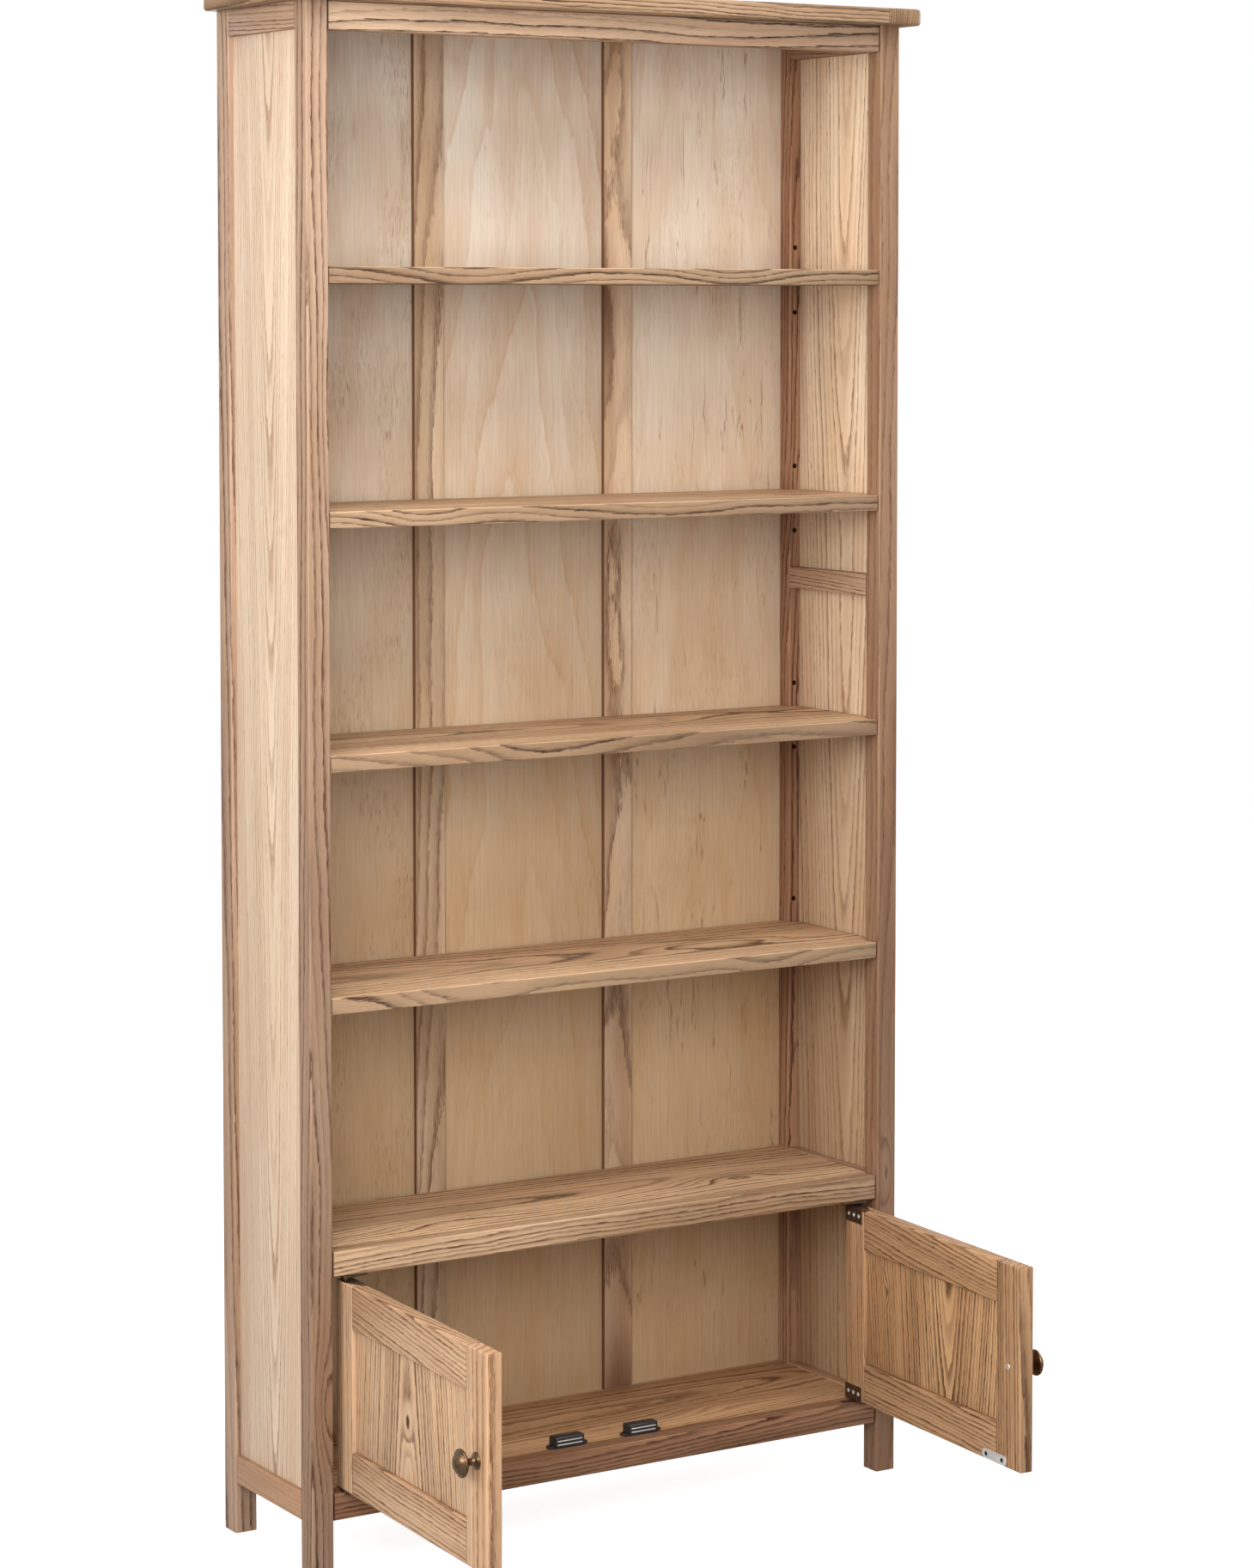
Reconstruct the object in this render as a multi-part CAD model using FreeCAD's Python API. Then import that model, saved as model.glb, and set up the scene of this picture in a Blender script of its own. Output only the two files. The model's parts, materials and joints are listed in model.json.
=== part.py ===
import FreeCAD, Part
import math
import os

# Free-standing bookcase: five open bays over a cupboard with two inset doors.
# Millimetres, +Z up, +X to the right, front towards -Y.
# Parts are built with the plane of the post fronts at Y = 0, then moved to FRONT_Y.

os.makedirs("parts", exist_ok=True)
V = FreeCAD.Vector

# ---------------------------------------------------------------- case sizes
CASE_W = 860.0          # over the posts
CASE_D = 240.0          # front of front posts to back of back posts
TOP_Z = 1892.0          # underside of the top board
TOP_T = 21.0
TOP_OVER_SIDE = 20.0
TOP_OVER_FRONT = 26.0
TOP_OVER_BACK = 3.0
END_BOARD_W = 54.0
TOP_CORNER_R = 12.0
TOP_EDGE_BEVEL = 2.4
TOP_TONGUE_T = 7.0
TOP_TONGUE_L = 12.0
TOP_TONGUE_END = 20.0   # tongue short of the case's back

POST_W = 29.0
FRONT_POST_D = 30.0
BACK_POST_D = 32.0
POST_ARRIS_R = 2.0

SIDE_PANEL_T = 6.0
SIDE_PANEL_OUT = 7.0    # recess of the panel behind the posts' outer faces
PANEL_GROOVE = 6.0      # depth of a panel's edge in its groove
SIDE_RAIL_IN = 0.5      # outer face of the side rails behind the posts
SIDE_TOP_RAIL_H = 32.0
SIDE_BOTTOM_RAIL_Z = (64.0, 98.0)
SIDE_MIDDLE_RAIL_H = 28.0
RAIL_ARRIS_R = 1.0
MIDDLE_RAIL_UP = 0.644  # its top above the third shelf, as a share of the pitch
SIDE_TENON_X = 8.0      # middle of a side rail's tenon from its inner face

SHELF_T = 20.0
SHELF_COUNT = 4
TOP_BAY_H = 314.0       # underside of the top board to the first shelf's top
SHELF_PITCH = 292.3
SHELF_END_GAP = 1.6
SHELF_EDGE_R = 1.5
SHELF_EAR_GAP = 1.0
SHELF_BACK_GAP = 1.0

PIN_HOLE_D = 7.0
PIN_D = 6.9
PIN_DROP = 12.0         # pin centre below its shelf's top
PIN_PITCH = 43.2
PIN_IN_POST = 10.0
PIN_OUT = 12.0
PIN_GROOVE_D = 7.4
PIN_SIDES = 8           # flats that stand for the round of a pin or its hole
PIN_RUN_OUT = 1.0       # groove longer than its pin

FIXED_TOP = 393.5
FIXED_RAIL_H = 31.0
BOTTOM_TOP = 97.5
BOTTOM_RAIL_Z0 = 65.0
CASE_RAIL_Y = 2.0       # front faces of the case's front rails
FIXED_RAIL_T = 24.0
BOTTOM_RAIL_T = 25.0
TOP_RAIL_T = 22.0
TOP_RAIL_H = 34.0
RAIL_END_GAP = 1.5
TENON_L = 14.0
TENON_T = 9.0
SIDE_TENON_L = 10.0
TENON_SHOULDER = 6.0
TOP_RAIL_ARRIS_R = 3.0
FIXED_RAIL_ARRIS_R = (3.0, 1.5)     # lower, upper
BOTTOM_RAIL_ARRIS_R = (2.0, 1.5)

BACK_PANEL_IN = 4.0     # face of the back panels behind the mullions' faces
BACK_PANEL_T = 6.0
MULLION_W = 44.0
BACK_FRAME_T = 14.0
BACK_TOP_RAIL_H = 18.0
BACK_BOTTOM_RAIL_H = 33.5
BACK_GROOVE = 5.0
BACK_TENON_T = 8.0
BACK_TENON_SHOULDER = 4.0
MULLION_TENON_W = 24.0
MULLION_TENON_T = 6.0
MULLION_TENON_L = 10.0
MULLION_ARRIS_R = 1.0

# ---------------------------------------------------------------- door sizes
DOOR_SIDE_GAP = 1.7     # hinge edge of a closed door to its post
DOOR_FREE_X = 1.5       # free edge of a closed door, from the middle
DOOR_FOOT_GAP = 3.0
DOOR_HEAD_GAP = 7.0
DOOR_T = 20.0
HINGE_STILE_W = 45.0
FREE_STILE_W = 50.0
DOOR_RAIL_H = 52.0
DOOR_EDGE_R = 2.5
DOOR_INNER_R = 1.5
DOOR_PANEL_T = 8.0
DOOR_GROOVE = 8.0
DOOR_TENON_L = 24.0
DOOR_TENON_INSET = 10.0

PIVOT_FROM_EDGE = 17.8  # hinge pin to the door's hinge edge
PIVOT_Y = 4.5           # hinge pin behind the closed door's outer face
LEFT_OPEN = 92.5        # degrees the doors stand open at rest
RIGHT_OPEN = 87.5
PIVOT_PIN_D = 4.0
PIVOT_BORE_D = 4.1
PIVOT_WOOD_D = 5.2
PIVOT_COLLAR_D = 8.0
PIVOT_COLLAR_L = 1.2
PIVOT_REST_GAP = 0.3    # lower collar to the door it carries
PIVOT_DEPTH = 9.0

LEAF_T = 1.6            # hinge plate on the door
LEAF_L = 39.0
LEAF_H = 20.0
FLANGE_L = 48.0
FLANGE_TIP = 9.0
FLANGE_NOSE = 6.0       # half width of the flange's nose about the pin
FLANGE_SETBACK = 1.2    # nose behind the door's outer face
FLANGE_TAPER = (4.0, 3.5)
LEAF_SCREW_STEPS = (0.2, 0.5, 0.8)      # along the plate, as shares of its length
FRAME_LEAF_T = 2.5
FRAME_LEAF_NOSE_R = 4.5
FRAME_LEAF_L = 30.0
FRAME_LEAF_W = 14.0
FRAME_LEAF_NECK = 12.0
FRAME_LEAF_TAPER = 3.0

KNOB_FROM_EDGE = 25.0
KNOB_D = 33.0
KNOB_OUT = 29.0
ROSE_D = 20.0
ROSE_T = 2.6
KNOB_NECK_R = 5.2
KNOB_SCREW_D = 4.0
KNOB_BORE = 13.0
KNOB_SCREW_HEAD_D = 9.0
KNOB_SCREW_HEAD_H = 2.2
KNOB_SCREW_SHORT = 2.0  # end of the screw before the end of its bore
KNOB_SIDES = 28         # flats that stand for the round of the knob

STRIKE_L = 52.0
STRIKE_H = 12.0
STRIKE_T = 1.8
STRIKE_FROM_EDGE = 53.0
STRIKE_UP = 8.0
STRIKE_HOLE_X = 17.0
STRIKE_END_FLAT = 0.05

# Screws: length, shank diameter, head diameter, head height.
HEAD_SIDES = 10
SHANK_SIDES = 6
LEAF_SCREW = (12.0, 2.8, 5.4, LEAF_T)
STRIKE_SCREW = (13.0, 2.8, 5.4, STRIKE_T)
CATCH_SCREW = (15.0, 3.0, 5.6, 1.8)

CATCH_GAP = 0.7         # strike plate to the catch's pole plates
CATCH_BODY_W = 42.0
CATCH_BODY_D = 16.0
CATCH_BODY_H = 14.0
CATCH_BASE_W = 58.0
CATCH_BASE_D = 11.0
CATCH_BASE_H = 3.0
CATCH_SCREW_X = 25.0
CATCH_SCREW_IN = 8.0    # screws behind the catch's front
CATCH_BODY_BEVEL = 1.2
CATCH_BASE_BEVEL = 3.0
POLE_T = 1.4
POLE_W = 36.0
POLE_D = 13.0
POLE_OUT = 0.8
POLE_RISE = 4.0         # lower pole plate above the board, and upper one below the top

SCREW_FIT = 0.05        # radial clearance of a screw or pin in its hole

# ------------------------------------------------------------ derived places
HALF_W = CASE_W / 2
POST_IN_X = HALF_W - POST_W
BACK_POST_Y = CASE_D - BACK_POST_D
PANEL_OUT_X = HALF_W - SIDE_PANEL_OUT
PANEL_IN_X = PANEL_OUT_X - SIDE_PANEL_T
TOP_END_X = HALF_W + TOP_OVER_SIDE
CENTRE_TOP_X = TOP_END_X - END_BOARD_W
FIXED_RAIL_Z0 = FIXED_TOP - FIXED_RAIL_H
SHELF_TOPS = [TOP_Z - TOP_BAY_H - i * SHELF_PITCH for i in range(SHELF_COUNT)]
MIDDLE_RAIL_TOP = SHELF_TOPS[2] + MIDDLE_RAIL_UP * SHELF_PITCH
MULLION_Y = CASE_D - BACK_FRAME_T
BACK_PANEL_Y = MULLION_Y + BACK_PANEL_IN
SHELF_BACK_Y = MULLION_Y - SHELF_BACK_GAP
MULLION_X = (2 * POST_IN_X + MULLION_W) / 6
BACK_TOP_RAIL_Z0 = TOP_Z - BACK_TOP_RAIL_H
BACK_BOTTOM_RAIL_Z0 = BOTTOM_TOP - BACK_BOTTOM_RAIL_H
DOOR_EDGE_X = POST_IN_X - DOOR_SIDE_GAP
DOOR_Z0 = BOTTOM_TOP + DOOR_FOOT_GAP
DOOR_Z1 = FIXED_RAIL_Z0 - DOOR_HEAD_GAP
PIVOT_X = DOOR_EDGE_X - PIVOT_FROM_EDGE
KNOB_X = DOOR_FREE_X + KNOB_FROM_EDGE
STRIKE_X = DOOR_FREE_X + STRIKE_FROM_EDGE
STRIKE_Z = DOOR_Z0 + STRIKE_UP
CATCH_X = STRIKE_X
CATCH_FRONT = DOOR_T + STRIKE_T + CATCH_GAP
FAR = 2 * CASE_W        # beyond every face, for cutting boxes


def door_reach(angle):
    """How far the open door stands in front of the post fronts."""
    a = math.radians(angle)
    run = PIVOT_X - DOOR_FREE_X
    return run * math.sin(a) - (DOOR_T - PIVOT_Y) * math.cos(a) - PIVOT_Y


REACH = max(door_reach(LEFT_OPEN), door_reach(RIGHT_OPEN))
FRONT_Y = (REACH - CASE_D - TOP_OVER_BACK) / 2


# ------------------------------------------------------------------- helpers
def box(x0, x1, y0, y1, z0, z1):
    lo = V(min(x0, x1), min(y0, y1), min(z0, z1))
    return Part.makeBox(abs(x1 - x0), abs(y1 - y0), abs(z1 - z0), lo)


def cyl(x, y, z, r, length, axis):
    return Part.makeCylinder(r, length, V(x, y, z), axis)


def prism(x, y, z, r, length, axis, sides):
    """Round pin or hole drawn with few flats, for what repeats many times."""
    turn = 2 * math.pi / sides
    pts = [V(r * math.cos((i + 0.5) * turn), r * math.sin((i + 0.5) * turn), 0) for i in range(sides)]
    solid = Part.Face(Part.makePolygon(pts + [pts[0]])).extrude(V(0, 0, length))
    solid.Placement = FreeCAD.Placement(V(x, y, z), FreeCAD.Rotation(V(0, 0, 1), axis))
    return solid


def straight_edges(shape, keep):
    """Straight edges whose middle passes keep(x, y, z, axis)."""
    edges = []
    for edge in shape.Edges:
        if len(edge.Vertexes) != 2:
            continue
        a, b = edge.Vertexes[0].Point, edge.Vertexes[1].Point
        d = b - a
        size = (abs(d.x), abs(d.y), abs(d.z))
        axis = "xyz"[size.index(max(size))]
        m = (a + b) * 0.5
        if keep(m.x, m.y, m.z, axis):
            edges.append(edge)
    return edges


def rounded(shape, radius, keep):
    edges = straight_edges(shape, keep)
    return shape.makeFillet(radius, edges) if edges else shape


def bevelled(shape, width, keep):
    edges = straight_edges(shape, keep)
    return shape.makeChamfer(width, edges) if edges else shape


def near(a, b):
    return abs(a - b) < 0.01


def mirror_x(shape):
    return shape.mirror(V(0, 0, 0), V(1, 0, 0))


def sided(shape, side):
    """The right-hand shape, or its mirror for side = -1."""
    return shape if side > 0 else mirror_x(shape)


def group(shapes):
    return Part.makeCompound(shapes)


def turned(points, sides):
    """Turned piece along Z through (radius, along) points, drawn with flats."""
    turn = 2 * math.pi / sides
    rings = [[V(r * math.cos(i * turn), r * math.sin(i * turn), along) for i in range(sides)]
             for r, along in points]
    outlines = [rings[0], rings[-1]]
    for low, high in zip(rings, rings[1:]):
        outlines += [[low[i - 1], low[i], high[i], high[i - 1]] for i in range(sides)]
    faces = [Part.Face(Part.makePolygon(outline + [outline[0]])) for outline in outlines]
    return Part.makeSolid(Part.makeShell(faces)).removeSplitter()


def screw(x, y, z, axis, size, clearance=0.0):
    """Flat-headed screw, its head's top at x, y, z; with a clearance, the space it needs."""
    length, shank_d, head_d, head_h = size
    c = clearance
    head = prism(x, y, z, head_d / 2 + c, head_h, axis, HEAD_SIDES)
    shank = prism(x, y, z, shank_d / 2 + c, length + c, axis, SHANK_SIDES)
    return head.fuse(shank)


PARTS = {}


def export(name, shape):
    shape = shape.removeSplitter() if shape.ShapeType == "Solid" else shape
    if shape.ShapeType == "Compound" and len(shape.Solids) == 1:
        shape = shape.Solids[0].removeSplitter()
    moved = shape.copy()
    moved.translate(V(0, FRONT_Y, 0))
    PARTS[name] = moved
    moved.exportStep("parts/" + name + ".step")


# --------------------------------------------------- sides: rails and panels
def panel_hollow():
    """Space of the right side panel, edges in the grooves."""
    return box(PANEL_IN_X, PANEL_OUT_X, FRONT_POST_D - PANEL_GROOVE, BACK_POST_Y + PANEL_GROOVE,
               SIDE_BOTTOM_RAIL_Z[1] - PANEL_GROOVE, TOP_Z - SIDE_TOP_RAIL_H + PANEL_GROOVE)


def stub(x_mid, z0, z1):
    """Tenons on both ends of a right side rail, along Y."""
    x0, x1 = x_mid - TENON_T / 2, x_mid + TENON_T / 2
    za, zb = z0 + TENON_SHOULDER, z1 - TENON_SHOULDER
    front = box(x0, x1, FRONT_POST_D - SIDE_TENON_L, FRONT_POST_D, za, zb)
    back = box(x0, x1, BACK_POST_Y, BACK_POST_Y + SIDE_TENON_L, za, zb)
    return front.fuse(back)


def side_rail(z0, z1, inside_only):
    x0 = POST_IN_X
    x1 = PANEL_IN_X if inside_only else HALF_W - SIDE_RAIL_IN
    body = box(x0, x1, FRONT_POST_D, BACK_POST_Y, z0, z1)
    body = rounded(body, RAIL_ARRIS_R, lambda x, y, z, a: a == "y" and near(x, x0) and z < TOP_Z - 1)
    if not inside_only:
        body = rounded(body, RAIL_ARRIS_R, lambda x, y, z, a: a == "y" and near(x, x1) and z < TOP_Z - 1)
    mid = (x0 + x1) / 2 if inside_only else x0 + SIDE_TENON_X
    tenons = stub(mid, z0, z1)
    body = body.fuse(tenons)
    if not inside_only:
        body = body.cut(panel_hollow())
    return body, tenons


side_rails = {}
side_tenons = []
for rail_name, rail_z, inside in (
        ("top_rail", (TOP_Z - SIDE_TOP_RAIL_H, TOP_Z), False),
        ("middle_rail", (MIDDLE_RAIL_TOP - SIDE_MIDDLE_RAIL_H, MIDDLE_RAIL_TOP), True),
        ("shelf_rail", (FIXED_RAIL_Z0, FIXED_TOP), True),
        ("bottom_rail", SIDE_BOTTOM_RAIL_Z, False)):
    rail_body, rail_tenons = side_rail(rail_z[0], rail_z[1], inside)
    side_rails[rail_name] = rail_body
    side_tenons.append(rail_tenons)

for side, word in ((-1, "left"), (1, "right")):
    for rail_name, rail_body in side_rails.items():
        export(word + "_side_" + rail_name, sided(rail_body, side))
    export(word + "_side_panel", sided(panel_hollow(), side))


# ------------------------------------------------------------- front rails
def front_rail(y1, z0, z1, soft_low, soft_high):
    """Rail a little short of the front posts; its tenons run into them."""
    x = POST_IN_X - RAIL_END_GAP
    body = box(-x, x, CASE_RAIL_Y, y1, z0, z1)
    for level, soft in ((z0, soft_low), (z1, soft_high)):
        if soft:
            body = rounded(body, soft, lambda a, b, c, d: d == "x" and near(b, CASE_RAIL_Y) and near(c, level))
    ty = (CASE_RAIL_Y + y1) / 2
    tenon = box(-POST_IN_X - TENON_L, POST_IN_X + TENON_L, ty - TENON_T / 2, ty + TENON_T / 2,
                z0 + TENON_SHOULDER, z1 - TENON_SHOULDER)
    return body.fuse(tenon), tenon


top_rail, top_rail_tenon = front_rail(CASE_RAIL_Y + TOP_RAIL_T, TOP_Z - TOP_RAIL_H, TOP_Z,
                                      TOP_RAIL_ARRIS_R, 0)
fixed_rail, fixed_rail_tenon = front_rail(CASE_RAIL_Y + FIXED_RAIL_T, FIXED_RAIL_Z0, FIXED_TOP,
                                          *FIXED_RAIL_ARRIS_R)
bottom_rail, bottom_rail_tenon = front_rail(CASE_RAIL_Y + BOTTOM_RAIL_T, BOTTOM_RAIL_Z0, BOTTOM_TOP,
                                            *BOTTOM_RAIL_ARRIS_R)


# --------------------------------------------------------------- back frame
def back_rail(z0, z1):
    ty = BACK_PANEL_Y + BACK_PANEL_T / 2
    body = box(-POST_IN_X, POST_IN_X, MULLION_Y, MULLION_Y + BACK_FRAME_T, z0, z1)
    tenon = box(-POST_IN_X - TENON_L, POST_IN_X + TENON_L, ty - BACK_TENON_T / 2, ty + BACK_TENON_T / 2,
                z0 + BACK_TENON_SHOULDER, z1 - BACK_TENON_SHOULDER)
    return body.fuse(tenon), tenon


back_top, back_top_tenon = back_rail(BACK_TOP_RAIL_Z0, TOP_Z)
back_bottom, back_bottom_tenon = back_rail(BACK_BOTTOM_RAIL_Z0, BOTTOM_TOP)


def back_hollow(x0, x1):
    """Space of one back panel, edges in the grooves."""
    return box(x0 - BACK_GROOVE, x1 + BACK_GROOVE, BACK_PANEL_Y, BACK_PANEL_Y + BACK_PANEL_T,
               BOTTOM_TOP - BACK_GROOVE, BACK_TOP_RAIL_Z0 + BACK_GROOVE)


back_spaces = {
    "left_back_panel": back_hollow(-POST_IN_X, -MULLION_X - MULLION_W / 2),
    "centre_back_panel": back_hollow(-MULLION_X + MULLION_W / 2, MULLION_X - MULLION_W / 2),
    "right_back_panel": back_hollow(MULLION_X + MULLION_W / 2, POST_IN_X),
}
all_back_spaces = group(list(back_spaces.values()))


def mullion(x):
    ty = BACK_PANEL_Y + BACK_PANEL_T / 2
    body = box(x - MULLION_W / 2, x + MULLION_W / 2, MULLION_Y, MULLION_Y + BACK_FRAME_T,
               BOTTOM_TOP, BACK_TOP_RAIL_Z0)
    body = rounded(body, MULLION_ARRIS_R, lambda a, b, c, d: d == "z" and near(b, MULLION_Y))
    tenon = box(x - MULLION_TENON_W / 2, x + MULLION_TENON_W / 2,
                ty - MULLION_TENON_T / 2, ty + MULLION_TENON_T / 2,
                BOTTOM_TOP - MULLION_TENON_L, BACK_TOP_RAIL_Z0 + MULLION_TENON_L)
    return body.fuse(tenon), tenon


left_mullion, left_mullion_tenon = mullion(-MULLION_X)
right_mullion, right_mullion_tenon = mullion(MULLION_X)
mullion_tenons = group([left_mullion_tenon, right_mullion_tenon])

export("back_top_rail", back_top.cut(all_back_spaces).cut(mullion_tenons))
export("back_bottom_rail", back_bottom.cut(all_back_spaces).cut(mullion_tenons))
export("left_mullion", left_mullion.cut(all_back_spaces))
export("right_mullion", right_mullion.cut(all_back_spaces))
for panel_name, panel_space in back_spaces.items():
    export(panel_name, panel_space)


# -------------------------------------------------------------------- posts
def pin_levels():
    levels = []
    for top in SHELF_TOPS:
        levels += [top - PIN_DROP - PIN_PITCH, top - PIN_DROP, top - PIN_DROP + PIN_PITCH]
    return levels


PIN_X = (POST_IN_X + PANEL_IN_X) / 2
PIN_FLAT = math.cos(math.pi / PIN_SIDES)    # across the flats over across the corners


def post(y0, y1, hole_y, hole_dir):
    """Right-hand post with rounded arrises and its rows of pin holes."""
    body = box(POST_IN_X, HALF_W, y0, y1, 0, TOP_Z)
    body = rounded(body, POST_ARRIS_R, lambda x, y, z, a: a == "z")
    holes = [prism(PIN_X, hole_y, z, PIN_HOLE_D / 2, PIN_IN_POST, V(0, hole_dir, 0), PIN_SIDES)
             for z in pin_levels()]
    return body.cut(group(holes))


def right_side_of(shape):
    """Front-to-back cutters as they meet the right-hand posts."""
    return shape.common(box(0, FAR, -FAR, FAR, -FAR, FAR * 2))


front_cuts = side_tenons + [panel_hollow()]
front_cuts += [right_side_of(t) for t in (top_rail_tenon, fixed_rail_tenon, bottom_rail_tenon)]
back_cuts = side_tenons + [panel_hollow()]
back_cuts += [right_side_of(t) for t in (back_top_tenon, back_bottom_tenon)]
back_cuts.append(back_spaces["right_back_panel"])


def cut_all(shape, tools):
    for tool in tools:
        shape = shape.cut(tool)
    return shape


front_post = cut_all(post(0, FRONT_POST_D, FRONT_POST_D, -1), front_cuts)
back_post = cut_all(post(BACK_POST_Y, CASE_D, BACK_POST_Y, 1), back_cuts)
for side, word in ((-1, "left"), (1, "right")):
    export("front_" + word + "_post", sided(front_post, side))
    export("back_" + word + "_post", sided(back_post, side))


# ---------------------------------------------------------------- top board
def top_blank():
    body = box(-TOP_END_X, TOP_END_X, -TOP_OVER_FRONT, CASE_D + TOP_OVER_BACK, TOP_Z, TOP_Z + TOP_T)
    body = rounded(body, TOP_CORNER_R, lambda x, y, z, a: a == "z")
    rim = [e for e in body.Edges if near(e.BoundBox.ZMin, e.BoundBox.ZMax)]
    return body.makeChamfer(TOP_EDGE_BEVEL, rim)


tongue_z = TOP_Z + (TOP_T - TOP_TONGUE_T) / 2
tongue = box(-CENTRE_TOP_X - TOP_TONGUE_L, CENTRE_TOP_X + TOP_TONGUE_L,
             0, CASE_D - TOP_TONGUE_END, tongue_z, tongue_z + TOP_TONGUE_T)
blank = top_blank()
middle = box(-CENTRE_TOP_X, CENTRE_TOP_X, -FAR, FAR, 0, FAR * 2)
export("top_board", blank.common(middle).fuse(tongue))
for side, word in ((-1, "left"), (1, "right")):
    end_space = sided(box(CENTRE_TOP_X, FAR, -FAR, FAR, 0, FAR * 2), side)
    export("top_" + word + "_end_board", blank.common(end_space).cut(tongue))


# ------------------------------------------------------------ loose shelves
def shelf(top):
    """Notched board; its four ears reach between the posts to the side panels."""
    x_in, x_ear = POST_IN_X - SHELF_END_GAP, PANEL_IN_X - SHELF_EAR_GAP
    y0, y1 = CASE_RAIL_Y, SHELF_BACK_Y
    g = SHELF_EAR_GAP
    pts = [(-x_in, y0), (x_in, y0), (x_in, FRONT_POST_D + g), (x_ear, FRONT_POST_D + g),
           (x_ear, BACK_POST_Y - g), (x_in, BACK_POST_Y - g), (x_in, y1), (-x_in, y1),
           (-x_in, BACK_POST_Y - g), (-x_ear, BACK_POST_Y - g), (-x_ear, FRONT_POST_D + g),
           (-x_in, FRONT_POST_D + g)]
    ring = Part.makePolygon([V(x, y, top - SHELF_T) for x, y in pts + [pts[0]]])
    body = Part.Face(ring).extrude(V(0, 0, SHELF_T))
    body = rounded(body, SHELF_EDGE_R, lambda x, y, z, a: a == "x" and near(y, y0))
    z = top - PIN_DROP
    r = PIN_GROOVE_D / 2
    for sx in (-1, 1):
        for y_start in (FRONT_POST_D, BACK_POST_Y - PIN_OUT - PIN_RUN_OUT):
            run = PIN_OUT + PIN_RUN_OUT
            slot = prism(sx * PIN_X, y_start, z, r, run, V(0, 1, 0), PIN_SIDES)
            slot = slot.fuse(box(sx * PIN_X - r * PIN_FLAT, sx * PIN_X + r * PIN_FLAT, y_start, y_start + run,
                                 top - SHELF_T - 1, z))
            body = body.cut(slot)
    return body


for index, shelf_top in enumerate(SHELF_TOPS):
    export("shelf_%d" % (index + 1), shelf(shelf_top))

pins = []
for shelf_top in SHELF_TOPS:
    for sx in (-1, 1):
        for y_face, into in ((FRONT_POST_D, -1), (BACK_POST_Y, 1)):
            start = y_face + into * PIN_IN_POST
            pins.append(prism(sx * PIN_X, start, shelf_top - PIN_DROP, PIN_D / 2, PIN_IN_POST + PIN_OUT,
                              V(0, -into, 0), PIN_SIDES))
export("shelf_pins", group(pins))


# ------------------------------------- fixed shelf, bottom shelf, their rails
def hinge_places():
    """Pin places as (z of the case face, direction from the case into the door)."""
    return ((FIXED_RAIL_Z0, -1), (BOTTOM_TOP, 1))


def frame_leaf(z_top):
    """Tapered plate with a round nose about the hinge pin, for the right side."""
    nose = FRAME_LEAF_NOSE_R
    tail_y = CASE_RAIL_Y + FRAME_LEAF_W
    x_tail = PIVOT_X - FRAME_LEAF_L
    low = z_top - FRAME_LEAF_T
    pts = [(PIVOT_X, PIVOT_Y - nose), (PIVOT_X - FRAME_LEAF_NECK, CASE_RAIL_Y),
           (x_tail, CASE_RAIL_Y + FRAME_LEAF_TAPER), (x_tail, tail_y), (PIVOT_X + nose, tail_y),
           (PIVOT_X + nose, PIVOT_Y), (PIVOT_X, PIVOT_Y)]
    flat = Part.Face(Part.makePolygon([V(x, y, low) for x, y in pts + [pts[0]]]))
    body = flat.extrude(V(0, 0, FRAME_LEAF_T))
    hub = cyl(PIVOT_X, PIVOT_Y, low, nose, FRAME_LEAF_T, V(0, 0, 1))
    return body.fuse(hub).removeSplitter()


frame_leaves, pivot_pins, leaf_rebates = [], [], []
for sx in (-1, 1):
    for z_face, way in hinge_places():
        # The upper plate lies on the rail's underside, the lower one in a rebate.
        plate = frame_leaf(z_face)
        low = z_face - FRAME_LEAF_T
        plate_face = low if way < 0 else z_face
        if way > 0:
            leaf_rebates.append(sided(plate, sx))
        bore = cyl(PIVOT_X, PIVOT_Y, low - 1, PIVOT_PIN_D / 2 + SCREW_FIT, FRAME_LEAF_T + 2, V(0, 0, 1))
        frame_leaves.append(sided(plate.cut(bore), sx))
        # Pin with a collar lying on the plate; it runs on into the door.
        door_face = DOOR_Z1 if way < 0 else DOOR_Z0
        run = abs(door_face - plate_face)
        collar_l = PIVOT_COLLAR_L if way < 0 else run - PIVOT_REST_GAP
        along = V(0, 0, way)
        pin = cyl(PIVOT_X, PIVOT_Y, plate_face - way * FRAME_LEAF_T, PIVOT_PIN_D / 2,
                  FRAME_LEAF_T + run + PIVOT_DEPTH, along)
        collar = prism(PIVOT_X, PIVOT_Y, plate_face, PIVOT_COLLAR_D / 2, collar_l, along, HEAD_SIDES)
        pivot_pins.append(sided(pin.fuse(collar), sx))
export("hinge_frame_plates", group(frame_leaves))
export("hinge_pins", group(pivot_pins))

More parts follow.
